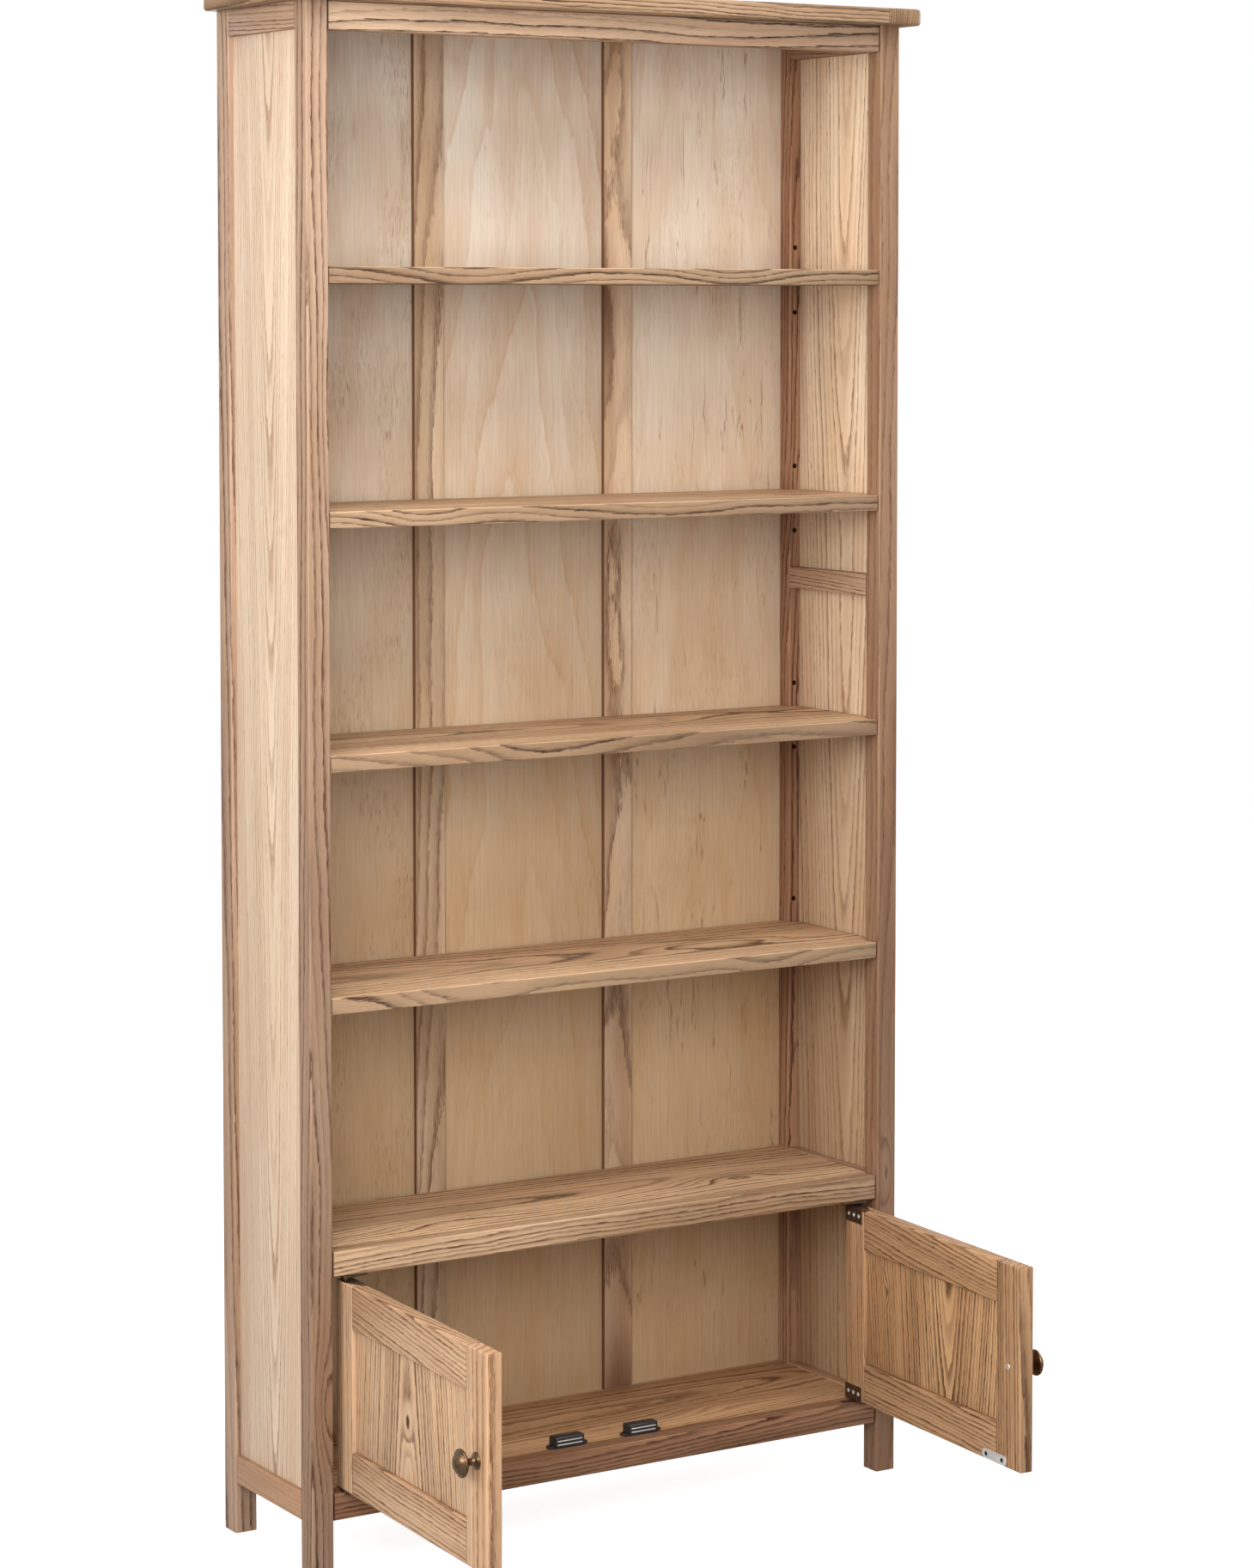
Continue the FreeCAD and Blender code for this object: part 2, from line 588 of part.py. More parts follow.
# Catches on the bottom shelf.
CATCH_SCREW_Y = CATCH_FRONT + POLE_OUT + CATCH_SCREW_IN
catch_bodies, catch_poles, catch_screws, catch_holes = [], [], [], []
for sx in (-1, 1):
    z = BOTTOM_TOP
    body = box(CATCH_X - CATCH_BODY_W / 2, CATCH_X + CATCH_BODY_W / 2, CATCH_FRONT + POLE_OUT,
               CATCH_FRONT + POLE_OUT + CATCH_BODY_D, z, z + CATCH_BODY_H)
    body = bevelled(body, CATCH_BODY_BEVEL, lambda a, b, c, d: near(c, z + CATCH_BODY_H) and d == "x")
    base = box(CATCH_X - CATCH_BASE_W / 2, CATCH_X + CATCH_BASE_W / 2, CATCH_SCREW_Y - CATCH_BASE_D / 2,
               CATCH_SCREW_Y + CATCH_BASE_D / 2, z, z + CATCH_BASE_H)
    base = bevelled(base, CATCH_BASE_BEVEL, lambda a, b, c, d: d == "z")
    body = body.fuse(base)
    for level in (z + POLE_RISE, z + CATCH_BODY_H - POLE_RISE - POLE_T):
        pole = box(CATCH_X - POLE_W / 2, CATCH_X + POLE_W / 2, CATCH_FRONT,
                   CATCH_FRONT + POLE_OUT + POLE_D, level, level + POLE_T)
        body = body.cut(pole)
        catch_poles.append(sided(pole, sx))
    for dx in (-CATCH_SCREW_X, CATCH_SCREW_X):
        x = CATCH_X + dx
        place = (x, CATCH_SCREW_Y, z + CATCH_BASE_H, V(0, 0, -1), CATCH_SCREW)
        hole = screw(*place, SCREW_FIT)
        body = body.cut(hole)
        catch_screws.append(sided(screw(*place), sx))
        catch_holes.append(sided(hole, sx))
    catch_bodies.append(sided(body, sx))
export("catch_bodies", group(catch_bodies))
export("catch_pole_plates", group(catch_poles))
export("catch_screws", group(catch_screws))

export("front_top_rail", top_rail)
export("fixed_shelf_front_rail", fixed_rail)
export("bottom_front_rail", cut_all(bottom_rail, leaf_rebates).cut(group(catch_holes)))
fixed = box(-POST_IN_X, POST_IN_X, CASE_RAIL_Y + FIXED_RAIL_T, SHELF_BACK_Y, FIXED_TOP - SHELF_T, FIXED_TOP)
export("fixed_shelf", fixed)
floor_board = box(-POST_IN_X, POST_IN_X, CASE_RAIL_Y + BOTTOM_RAIL_T, MULLION_Y,
                  BOTTOM_TOP - SHELF_T, BOTTOM_TOP)
export("bottom_shelf", floor_board.cut(group(catch_holes)))


# -------------------------------------------------------------------- doors
def door_flange(z_face, way):
    """Tapered part of the door plate, let into the door's top or bottom edge."""
    x_edge, x_tip = DOOR_EDGE_X, DOOR_EDGE_X - FLANGE_L
    yi = DOOR_T
    pts = [(x_edge, yi), (x_edge, PIVOT_Y), (PIVOT_X + FLANGE_NOSE, FLANGE_SETBACK),
           (PIVOT_X - FLANGE_NOSE, FLANGE_SETBACK), (x_tip + FLANGE_TAPER[0], yi - FLANGE_TIP),
           (x_tip, yi - FLANGE_TIP + FLANGE_TAPER[1]), (x_tip, yi)]
    flat = Part.Face(Part.makePolygon([V(x, y, z_face) for x, y in pts + [pts[0]]]))
    return flat.extrude(V(0, 0, way * LEAF_T))


def door_leaf(z_face, way):
    """The whole wrap-round plate: edge flange plus the plate on the inner face."""
    plate = box(DOOR_EDGE_X - LEAF_L, DOOR_EDGE_X, DOOR_T - LEAF_T, DOOR_T, z_face, z_face + way * LEAF_H)
    return door_flange(z_face, way).fuse(plate).removeSplitter()


def door_outline_round(shape):
    outer = (DOOR_FREE_X, DOOR_EDGE_X)

    def keep(x, y, z, axis):
        on_face = near(y, 0) or near(y, DOOR_T)
        on_end = axis == "x" and (near(z, DOOR_Z0) or near(z, DOOR_Z1))
        on_side = axis == "z" and (near(x, outer[0]) or near(x, outer[1]))
        return on_face and (on_end or on_side)

    return rounded(shape, DOOR_EDGE_R, keep)


PANEL_Y0 = (DOOR_T - DOOR_PANEL_T) / 2
PANEL_Y1 = PANEL_Y0 + DOOR_PANEL_T
OPEN_X0 = DOOR_FREE_X + FREE_STILE_W
OPEN_X1 = DOOR_EDGE_X - HINGE_STILE_W
OPEN_Z0 = DOOR_Z0 + DOOR_RAIL_H
OPEN_Z1 = DOOR_Z1 - DOOR_RAIL_H

blank = door_outline_round(box(DOOR_FREE_X, DOOR_EDGE_X, 0, DOOR_T, DOOR_Z0, DOOR_Z1))
door_panel = box(OPEN_X0 - DOOR_GROOVE, OPEN_X1 + DOOR_GROOVE, PANEL_Y0, PANEL_Y1,
                 OPEN_Z0 - DOOR_GROOVE, OPEN_Z1 + DOOR_GROOVE)
hinge_stile = blank.common(box(OPEN_X1, FAR, -FAR, FAR, 0, FAR))
free_stile = blank.common(box(-FAR, OPEN_X0, -FAR, FAR, 0, FAR))


def door_rail(z0, z1, inner_z):
    body = blank.common(box(OPEN_X0, OPEN_X1, -FAR, FAR, z0, z1))
    body = rounded(body, DOOR_INNER_R, lambda x, y, z, a: a == "x" and near(z, inner_z))
    outer_z = z0 if near(inner_z, z1) else z1
    step = DOOR_TENON_INSET if near(outer_z, z0) else -DOOR_TENON_INSET
    lip = DOOR_GROOVE if near(inner_z, z1) else -DOOR_GROOVE
    tz = sorted((outer_z + step, inner_z - lip))
    tenon = box(OPEN_X0 - DOOR_TENON_L, OPEN_X1 + DOOR_TENON_L, PANEL_Y0, PANEL_Y1, tz[0], tz[1])
    return body.fuse(tenon).cut(door_panel), tenon


door_top_rail, top_tenon = door_rail(OPEN_Z1, DOOR_Z1, OPEN_Z1)
door_bottom_rail, bottom_tenon = door_rail(DOOR_Z0, OPEN_Z0, OPEN_Z0)

leaf_screw_z = {-1: DOOR_Z1 - LEAF_H / 2, 1: DOOR_Z0 + LEAF_H / 2}
LEAF_SCREW_X = tuple(DOOR_EDGE_X - LEAF_L * step for step in LEAF_SCREW_STEPS)

door_leaves, door_screws, stile_tools = [], [], []
for z_face, way in ((DOOR_Z1, -1), (DOOR_Z0, 1)):
    leaf = door_leaf(z_face, way)
    stile_tools.append(leaf)
    bore = cyl(PIVOT_X, PIVOT_Y, z_face - way, PIVOT_BORE_D / 2, LEAF_T + 2, V(0, 0, way))
    leaf = leaf.cut(bore)
    stile_tools.append(cyl(PIVOT_X, PIVOT_Y, z_face, PIVOT_WOOD_D / 2, PIVOT_DEPTH + 1.0, V(0, 0, way)))
    for x in LEAF_SCREW_X:
        place = (x, DOOR_T, leaf_screw_z[way], V(0, -1, 0), LEAF_SCREW)
        leaf = leaf.cut(screw(*place, SCREW_FIT))
        door_screws.append(screw(*place))
        stile_tools.append(screw(*place, SCREW_FIT))
    door_leaves.append(leaf)


# Knob: a mushroom head on a waisted neck and a stepped round base.
KNOB_Z = (DOOR_Z0 + DOOR_Z1) / 2
kr, rr = KNOB_D / 2, ROSE_D / 2
knob_pts = [(rr, 0), (rr, ROSE_T), (KNOB_NECK_R, ROSE_T), (KNOB_NECK_R, KNOB_OUT * 0.44),
            (kr, KNOB_OUT * 0.66), (kr, KNOB_OUT * 0.76), (kr * 0.86, KNOB_OUT * 0.88),
            (kr * 0.56, KNOB_OUT * 0.96), (kr * 0.12, KNOB_OUT)]
knob = turned(knob_pts, KNOB_SIDES)
knob.rotate(V(0, 0, 0), V(1, 0, 0), 90)
knob.translate(V(KNOB_X, 0, KNOB_Z))
KNOB_SCREW = (KNOB_SCREW_HEAD_H + DOOR_T + KNOB_BORE - KNOB_SCREW_SHORT, KNOB_SCREW_D, KNOB_SCREW_HEAD_D,
              KNOB_SCREW_HEAD_H)
knob_screw_place = (KNOB_X, DOOR_T + KNOB_SCREW_HEAD_H, KNOB_Z, V(0, -1, 0), KNOB_SCREW)
knob_hole = screw(*knob_screw_place, SCREW_FIT)
knob = knob.cut(knob_hole)
door_screws.append(screw(*knob_screw_place))


# Strike plate on the inner face, low down near the free edge.
def strike():
    x0, x1 = STRIKE_X - STRIKE_L / 2, STRIKE_X + STRIKE_L / 2
    body = box(x0, x1, DOOR_T, DOOR_T + STRIKE_T, STRIKE_Z - STRIKE_H / 2, STRIKE_Z + STRIKE_H / 2)
    body = rounded(body, STRIKE_H / 2 - STRIKE_END_FLAT, lambda x, y, z, a: a == "y")
    return body


strike_plate = strike()
for x in (STRIKE_X - STRIKE_HOLE_X, STRIKE_X + STRIKE_HOLE_X):
    place = (x, DOOR_T + STRIKE_T, STRIKE_Z, V(0, -1, 0), STRIKE_SCREW)
    hole = screw(*place, SCREW_FIT)
    strike_plate = strike_plate.cut(hole)
    door_screws.append(screw(*place))
    free_stile = free_stile.cut(hole)
    door_bottom_rail = door_bottom_rail.cut(hole)

hinge_stile = cut_all(hinge_stile, [door_panel, top_tenon, bottom_tenon])
for tool in stile_tools:
    hinge_stile = hinge_stile.cut(tool)
    door_top_rail = door_top_rail.cut(tool)
    door_bottom_rail = door_bottom_rail.cut(tool)
free_stile = cut_all(free_stile, [door_panel, top_tenon, bottom_tenon, knob_hole])

door_parts = {
    "hinge_stile": hinge_stile,
    "free_stile": free_stile,
    "top_rail": door_top_rail,
    "bottom_rail": door_bottom_rail,
    "panel": door_panel,
    "knob": knob,
    "strike_plate": strike_plate,
    "hinge_plates": group(door_leaves),
    "screws": group(door_screws),
}
for side, word, angle in ((-1, "left", LEFT_OPEN), (1, "right", RIGHT_OPEN)):
    for part_name, part_shape in door_parts.items():
        placed = sided(part_shape, side).copy()
        placed.rotate(V(side * PIVOT_X, PIVOT_Y, 0), V(0, 0, 1), side * angle)
        export(word + "_door_" + part_name, placed)

print("FRONT_Y", round(FRONT_Y, 3), "nodes", len(PARTS))
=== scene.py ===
"""Bookcase with cabinet doors: looks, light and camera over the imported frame."""
from __future__ import annotations

import json
import logging
import math
from dataclasses import dataclass
from enum import Enum
from functools import partial

import bpy
from mathutils import Matrix, Vector


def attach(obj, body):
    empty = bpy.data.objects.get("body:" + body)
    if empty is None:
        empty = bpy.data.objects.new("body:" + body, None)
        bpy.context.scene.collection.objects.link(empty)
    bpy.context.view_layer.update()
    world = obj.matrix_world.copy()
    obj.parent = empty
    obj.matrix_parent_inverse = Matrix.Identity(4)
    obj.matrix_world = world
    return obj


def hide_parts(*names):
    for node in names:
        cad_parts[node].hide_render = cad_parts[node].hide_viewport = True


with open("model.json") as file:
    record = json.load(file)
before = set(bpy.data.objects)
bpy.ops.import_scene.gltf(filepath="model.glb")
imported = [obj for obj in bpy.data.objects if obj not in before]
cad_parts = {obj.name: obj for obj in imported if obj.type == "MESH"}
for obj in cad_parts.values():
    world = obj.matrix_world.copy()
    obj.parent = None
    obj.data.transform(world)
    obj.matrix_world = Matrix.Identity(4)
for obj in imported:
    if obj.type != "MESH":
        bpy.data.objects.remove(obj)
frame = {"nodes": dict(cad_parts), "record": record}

LOG = logging.getLogger("bookcase")
MM = 0.001
FRONT_Y = 66.407 * MM       # plane of the post fronts and of the closed doors' outer faces

Colour = tuple[float, float, float]
Screen = tuple[int, int, int]
Place = tuple[float, float, float]
Socket = bpy.types.NodeSocket
Sockets = tuple[Socket, ...]
Piece = bpy.types.Object


def linear(colour: Screen) -> Colour:
    """Turn an 8-bit screen colour into the linear colour that a shader takes."""
    shares = [channel / 255.0 for channel in colour]
    return tuple(s / 12.92 if s <= 0.04045 else ((s + 0.055) / 1.055) ** 2.4 for s in shares)


# ------------------------------------------------------------------ node graphs
class Graph:
    """A material's node tree with short calls for the nodes used here."""

    def __init__(self, name: str) -> None:
        """Start a material with only an output and a shader.

        Args:
            name: Name of the material.
        """
        self.material = bpy.data.materials.new(name)
        self.material.use_nodes = True
        self.tree = self.material.node_tree
        self.tree.nodes.clear()
        self.output = self.tree.nodes.new("ShaderNodeOutputMaterial")
        self.shader = self.tree.nodes.new("ShaderNodeBsdfPrincipled")
        self.tree.links.new(self.shader.outputs[0], self.output.inputs[0])

    def feed(self, socket: Socket, value: object) -> None:
        """Link or set one input.

        Args:
            socket: The input.
            value: A node output, a number, or a tuple.
        """
        if isinstance(value, Socket):
            self.tree.links.new(value, socket)
        else:
            socket.default_value = value

    def math(self, operation: str, *values: object, clamp: bool = False) -> Socket:
        """Add a Math node.

        Args:
            operation: Its operation.
            values: Its inputs, outputs of other nodes or numbers.
            clamp: Keep the result from 0 to 1.

        Returns:
            The node's output.
        """
        node = self.tree.nodes.new("ShaderNodeMath")
        node.operation = operation
        node.use_clamp = clamp
        for socket, value in zip(node.inputs, values):
            self.feed(socket, value)
        return node.outputs[0]

    def times(self, first: object, second: object) -> Socket:
        """Multiply two numbers."""
        return self.math("MULTIPLY", first, second)

    def plus(self, first: object, second: object) -> Socket:
        """Add two numbers."""
        return self.math("ADD", first, second)

    def less(self, first: object, second: object) -> Socket:
        """Take the second number from the first."""
        return self.math("SUBTRACT", first, second)

    def scaled(self, value: object, factor: object, shift: object) -> Socket:
        """Multiply a number by a factor and add a shift."""
        return self.math("MULTIPLY_ADD", value, factor, shift)

    def centred(self, value: object) -> Socket:
        """Take a half from a number from 0 to 1, so that it swings about zero."""
        return self.less(value, 0.5)

    def offset(self, place: Socket, middle: Vector) -> Socket:
        """Measure a place from a middle.

        Args:
            place: The place.
            middle: The point that becomes the origin.

        Returns:
            The place from that point.
        """
        node = self.tree.nodes.new("ShaderNodeVectorMath")
        node.operation = "SUBTRACT"
        self.feed(node.inputs[0], place)
        self.feed(node.inputs[1], tuple(middle))
        return node.outputs[0]

    def coordinates(self) -> Socket:
        """Object coordinates."""
        return self.tree.nodes.new("ShaderNodeTexCoord").outputs["Object"]

    def parts(self, vector: object) -> Sockets:
        """Split a vector.

        Args:
            vector: The vector.

        Returns:
            Its three numbers.
        """
        node = self.tree.nodes.new("ShaderNodeSeparateXYZ")
        self.feed(node.inputs[0], vector)
        return tuple(node.outputs)

    def join(self, x: object, y: object, z: object) -> Socket:
        """Make a vector.

        Args:
            x: Its first number.
            y: Its second number.
            z: Its third number.

        Returns:
            The vector.
        """
        node = self.tree.nodes.new("ShaderNodeCombineXYZ")
        for socket, value in zip(node.inputs, (x, y, z)):
            self.feed(socket, value)
        return node.outputs[0]

    def noise(self, vector: object, scale: float, detail: float = 2.0, rough: float = 0.5,
              colour: bool = False) -> Socket:
        """Add a Noise texture.

        Args:
            vector: Where it is looked up.
            scale: Its scale.
            detail: Its octaves.
            rough: Its roughness.
            colour: Return the three-channel output in place of the number.

        Returns:
            The chosen output.
        """
        node = self.tree.nodes.new("ShaderNodeTexNoise")
        self.feed(node.inputs["Vector"], vector)
        node.inputs["Scale"].default_value = scale
        node.inputs["Detail"].default_value = detail
        node.inputs["Roughness"].default_value = rough
        return node.outputs["Color"] if colour else node.outputs[0]

    def chance(self, value: object) -> Socket:
        """Draw a number for each value.

        Args:
            value: The value.

        Returns:
            A random number from 0 to 1, always the same for one value.
        """
        node = self.tree.nodes.new("ShaderNodeTexWhiteNoise")
        node.noise_dimensions = "1D"
        self.feed(node.inputs["W"], value)
        return node.outputs["Value"]

    def span(self, value: object, low: float, high: float, to_low: float = 0.0,
             to_high: float = 1.0) -> Socket:
        """Map a range to another, smoothly and clamped.

        Args:
            value: The number to map.
            low: Start of its range.
            high: End of its range.
            to_low: Result at the start.
            to_high: Result at the end.

        Returns:
            The mapped number.
        """
        node = self.tree.nodes.new("ShaderNodeMapRange")
        node.interpolation_type = "SMOOTHSTEP"
        limits = {"From Min": low, "From Max": high, "To Min": to_low, "To Max": to_high}
        for name, number in limits.items():
            node.inputs[name].default_value = number
        self.feed(node.inputs["Value"], value)
        return node.outputs[0]

    def ramp(self, value: object, stops: tuple[tuple[float, float], ...]) -> Socket:
        """Look a number up on a curve of grey stops.

        Args:
            value: The number.
            stops: Places and the values there.

        Returns:
            The value found.
        """
        node = self.tree.nodes.new("ShaderNodeValToRGB")
        band = node.color_ramp
        while len(band.elements) < len(stops):
            band.elements.new(0.5)
        for element, (place, level) in zip(band.elements, stops):
            element.position = place
            element.color = (level, level, level, 1.0)
        self.feed(node.inputs[0], value)
        return node.outputs[0]

    def blend(self, factor: object, first: object, second: object, mode: str = "MIX") -> Socket:
        """Mix two colours.

        Args:
            factor: How much of the second.
            first: First colour.
            second: Second colour.
            mode: Blend mode.

        Returns:
            The mixed colour.
        """
        node = self.tree.nodes.new("ShaderNodeMix")
        node.data_type = "RGBA"
        node.blend_type = mode
        self.feed(node.inputs["Factor"], factor)
        for socket, value in ((node.inputs[6], first), (node.inputs[7], second)):
            self.feed(socket, value if isinstance(value, Socket) else (*value, 1.0))
        return node.outputs[2]

    def bump(self, height: object, strength: float, distance: float) -> None:
        """Give the shader a bump.

        Args:
            height: The height, from 0 to 1.
            strength: How strong it is.
            distance: Its depth in metres.
        """
        node = self.tree.nodes.new("ShaderNodeBump")
        node.inputs["Strength"].default_value = strength
        node.inputs["Distance"].default_value = distance
        self.feed(node.inputs["Height"], height)
        self.tree.links.new(node.outputs[0], self.shader.inputs["Normal"])

    def shaded(self, colour: Socket, shade: Socket) -> Socket:
        """Multiply a colour by a grey shade."""
        return self.blend(1.0, colour, self.join(shade, shade, shade), "MULTIPLY")

    def set(self, name: str, value: object) -> None:
        """Set or link one of the shader's inputs."""
        self.feed(self.shader.inputs[name], value)


# --------------------------------------------------------------------- finishes
class Grain(Enum):
    """Direction in which a board's fibres run, or its wide face looks."""

    X = 0
    Y = 1
    Z = 2


@dataclass(frozen=True)
class Knot:
    """A swirl in the grain, placed from the board's middle, in metres.

    Attributes:
        along: Place along the grain.
        across: Place across the face.
        lift: How far it pushes the rings out.
        wide: Its half width across the grain.
        long: Its half length along the grain.
        heart: Darkness of its middle, from 0 to 1.
    """

    along: float
    across: float
    lift: float
    wide: float
    long: float
    heart: float = 0.0


@dataclass(frozen=True)
class Timber:
    """One kind of wood.

    Attributes:
        light: Screen colour of the wood between the ring lines.
        warm: Colour of its warmer patches.
        dark: Colour of the ring lines.
        ring: Width of a year's ring in metres.
        line: Share of a ring that its dark line takes.
        contrast: Strength of the ring lines.
        pores: Strength of the fine dark dashes.
        stain: Strength of the brown patches that follow the rings.
        rough: Surface roughness.
    """

    light: Screen
    warm: Screen
    dark: Screen
    ring: float = 0.0055
    line: float = 0.20
    contrast: float = 0.80
    pores: float = 0.45
    stain: float = 0.22
    rough: float = 0.5


@dataclass(frozen=True)
class Seam:
    """A dark line where a board meets its neighbour.

    Attributes:
        axis: Axis across the line.
        inset: Distance in from the board's end.
        side: -1 or 1 for one end, 0 for both.
        width: Its half width.
        depth: Its darkness, from 0 to 1.
    """

    axis: Grain
    inset: float = 0.0
    side: int = 0
    width: float = 0.9 * MM
    depth: float = 0.7


@dataclass(frozen=True)
class Cut:
    """How a board was sawn from its log.

    Attributes:
        grain: Direction of the fibres.
        face: Direction out of the wide face.
        pith: Distance of the log's middle across and behind the face.
        tilt: Slope of the fibres to the board, which draws the arches.
        seed: Number that makes the board differ from its neighbours.
        turn: Degrees that the board stands turned about the vertical.
        wave: How far the rings wander.
        knots: Swirls in the grain.
        seams: Dark lines at its joints.
        painted_top_light: Extra lightness of the wide face: painted light falling on it from above.
        fall: How much darker the colour grows towards the low end: painted shade.
    """

    grain: Grain
    face: Grain
    pith: tuple[float, float] = (0.01, 0.07)
    tilt: float = 0.05
    seed: float = 0.0
    turn: float = 0.0
    wave: float = 0.010
    knots: tuple[Knot, ...] = ()
    seams: tuple[Seam, ...] = ()
    painted_top_light: float = 0.0
    fall: float = 0.0


@dataclass(frozen=True)
class Extent:
    """Middle and half size of a board in its own turned axes."""

    middle: Vector
    half: Vector

    @staticmethod
    def of(node: str, turn: float = 0.0) -> Extent:
        """Measure a CAD node.

        Args:
            node: The CAD node.
            turn: Degrees that it stands turned about the vertical.

        Returns:
            Its extent in axes that are turned with it.
        """
        back = Matrix.Rotation(math.radians(-turn), 3, "Z")
        points = [back @ v.co for v in frame["nodes"][node].data.vertices]
        low = Vector([min(p[k] for p in points) for k in range(3)])
        high = Vector([max(p[k] for p in points) for k in range(3)])
        return Extent((low + high) / 2, (high - low) / 2)


class WoodFinish:
    """Open-grained timber under a thin satin oil.

    The pairs are scales of a pattern across and along the grain, per metre.
    """

    BEND = (5.0, 1.7)
    WAVER = (34.0, 10.0)
    JAG = (780.0, 60.0)
    FIBRE = (620.0, 15.0)
    PORE = (1050.0, 55.0)
    TONE = (22.0, 2.2)
    # Tint of the painted shade towards a board's low end.
    PAINTED_SHADE_TINT = (0.45, 0.36, 0.27)
    EDGE_SOFT = (0.2 * MM, 2.6 * MM)
    # Softness of the painted top light at the rim of the wide face.
    PAINTED_TOP_LIGHT_SOFT = (0.9 * MM, 0.2 * MM)

    def __init__(self, timber: Timber) -> None:
        """Keep the kind of wood."""
        self.timber = timber

    def local(self, g: Graph, cut: Cut, extent: Extent) -> Sockets:
        """Places in the board's own axes, from its middle.

        Args:
            g: The node graph.
            cut: How the board was sawn.
            extent: The board's middle and half size.

        Returns:
            Its x, y and z as node outputs.
        """
        place = g.coordinates()
        if cut.turn:
            turn = g.tree.nodes.new("ShaderNodeVectorRotate")
            turn.rotation_type = "Z_AXIS"
            turn.inputs["Angle"].default_value = math.radians(-cut.turn)
            g.feed(turn.inputs["Vector"], place)
            place = turn.outputs[0]
        return g.parts(g.offset(place, extent.middle))

    def figure(self, g: Graph, place: Sockets, scales: tuple[float, float], seed: float, detail: float,
               rough: float = 0.5, colour: bool = False) -> Socket:
        """Noise that is stretched along the grain.

        Args:
            g: The node graph.
            place: Places across, through and along the grain.
            scales: Scales across and along the grain.
            seed: Shift along the grain.
            detail: Octaves of the noise.
            rough: Its roughness.
            colour: Return three channels in place of one number.

        Returns:
            The noise.
        """
        across, through, along = place
        cross, run = scales
        spot = g.join(g.times(across, cross), g.times(through, cross), g.scaled(along, run, seed))
        return g.noise(spot, 1.0, detail, rough, colour)

    def rings(self, g: Graph, cut: Cut, place: Sockets) -> Socket:
        """Distance from the log's middle in metres, bent by waves, knots and fibres.

        Args:
            g: The node graph.
            cut: How the board was sawn.
            place: Places across, through and along the grain.

        Returns:
            The distance.
        """
        across, through, along = place
        bend = g.parts(self.figure(g, place, self.BEND, cut.seed, 1.5, 0.4, colour=True))
        waver = g.centred(self.figure(g, place, self.WAVER, cut.seed * 1.7, 2.0, 0.55))
        side = g.plus(g.less(across, cut.pith[0]), g.times(g.centred(bend[0]), cut.wave * 4.0))
        deep = g.plus(g.plus(through, cut.pith[1]), g.times(g.centred(bend[1]), cut.wave * 4.0))
        radius = g.math("SQRT", g.plus(g.times(side, side), g.times(deep, deep)))
        radius = g.plus(radius, g.times(along, cut.tilt))
        radius = g.plus(radius, g.times(waver, cut.wave * 0.55))
        jag = g.centred(self.figure(g, place, self.JAG, cut.seed, 1.0))
        radius = g.plus(radius, g.times(jag, self.timber.ring * 0.42))
        for knot in cut.knots:
            radius = g.plus(radius, g.times(self.swell(g, knot, place), knot.lift))
        return radius

    def swell(self, g: Graph, knot: Knot, place: Sockets) -> Socket:
        """How near a knot's middle a place is.

        Args:
            g: The node graph.
            knot: The knot.
            place: Places across, through and along the grain.

        Returns:
            The nearness, from 0 to 1.
        """
        across, _, along = place
        aside = g.math("DIVIDE", g.less(across, knot.across), knot.wide)
        ahead = g.math("DIVIDE", g.less(along, knot.along), knot.long)
        square = g.plus(g.times(aside, aside), g.times(ahead, ahead))
        return g.math("POWER", math.e, g.times(square, -1.0))

    def edge(self, g: Graph, local: Sockets, extent: Extent) -> Socket:
        """How near the board's nearest long edge a place is.

        Args:
            g: The node graph.
            local: Places in the board's own axes.
            extent: The board's middle and half size.

        Returns:
            The nearness, from 0 to 1.
        """
        a, b, c = (g.less(half, g.math("ABSOLUTE", axis)) for axis, half in zip(local, extent.half))
        outer = g.math("MINIMUM", g.math("MAXIMUM", a, b), c)
        second = g.math("MAXIMUM", g.math("MINIMUM", a, b), outer)
        return g.span(second, *self.EDGE_SOFT, 1.0, 0.0)

    def joints(self, g: Graph, cut: Cut, local: Sockets, extent: Extent, mark: Socket) -> Socket:
        """Darken a mark at the board's joints.

        Args:
            g: The node graph.
            cut: How the board was sawn.
            local: Places in the board's own axes.
            extent: The board's middle and half size.
            mark: Darkness so far.

        Returns:
            The greater darkness.
        """
        for seam in cut.seams:
            axis = local[seam.axis.value]
            reach = g.times(axis, seam.side) if seam.side else g.math("ABSOLUTE", axis)
            gap = g.math("ABSOLUTE", g.less(reach, extent.half[seam.axis.value] - seam.inset))
            mark = g.math("MAXIMUM", mark, g.span(gap, seam.width * 0.5, seam.width, seam.depth, 0.0))
        return mark

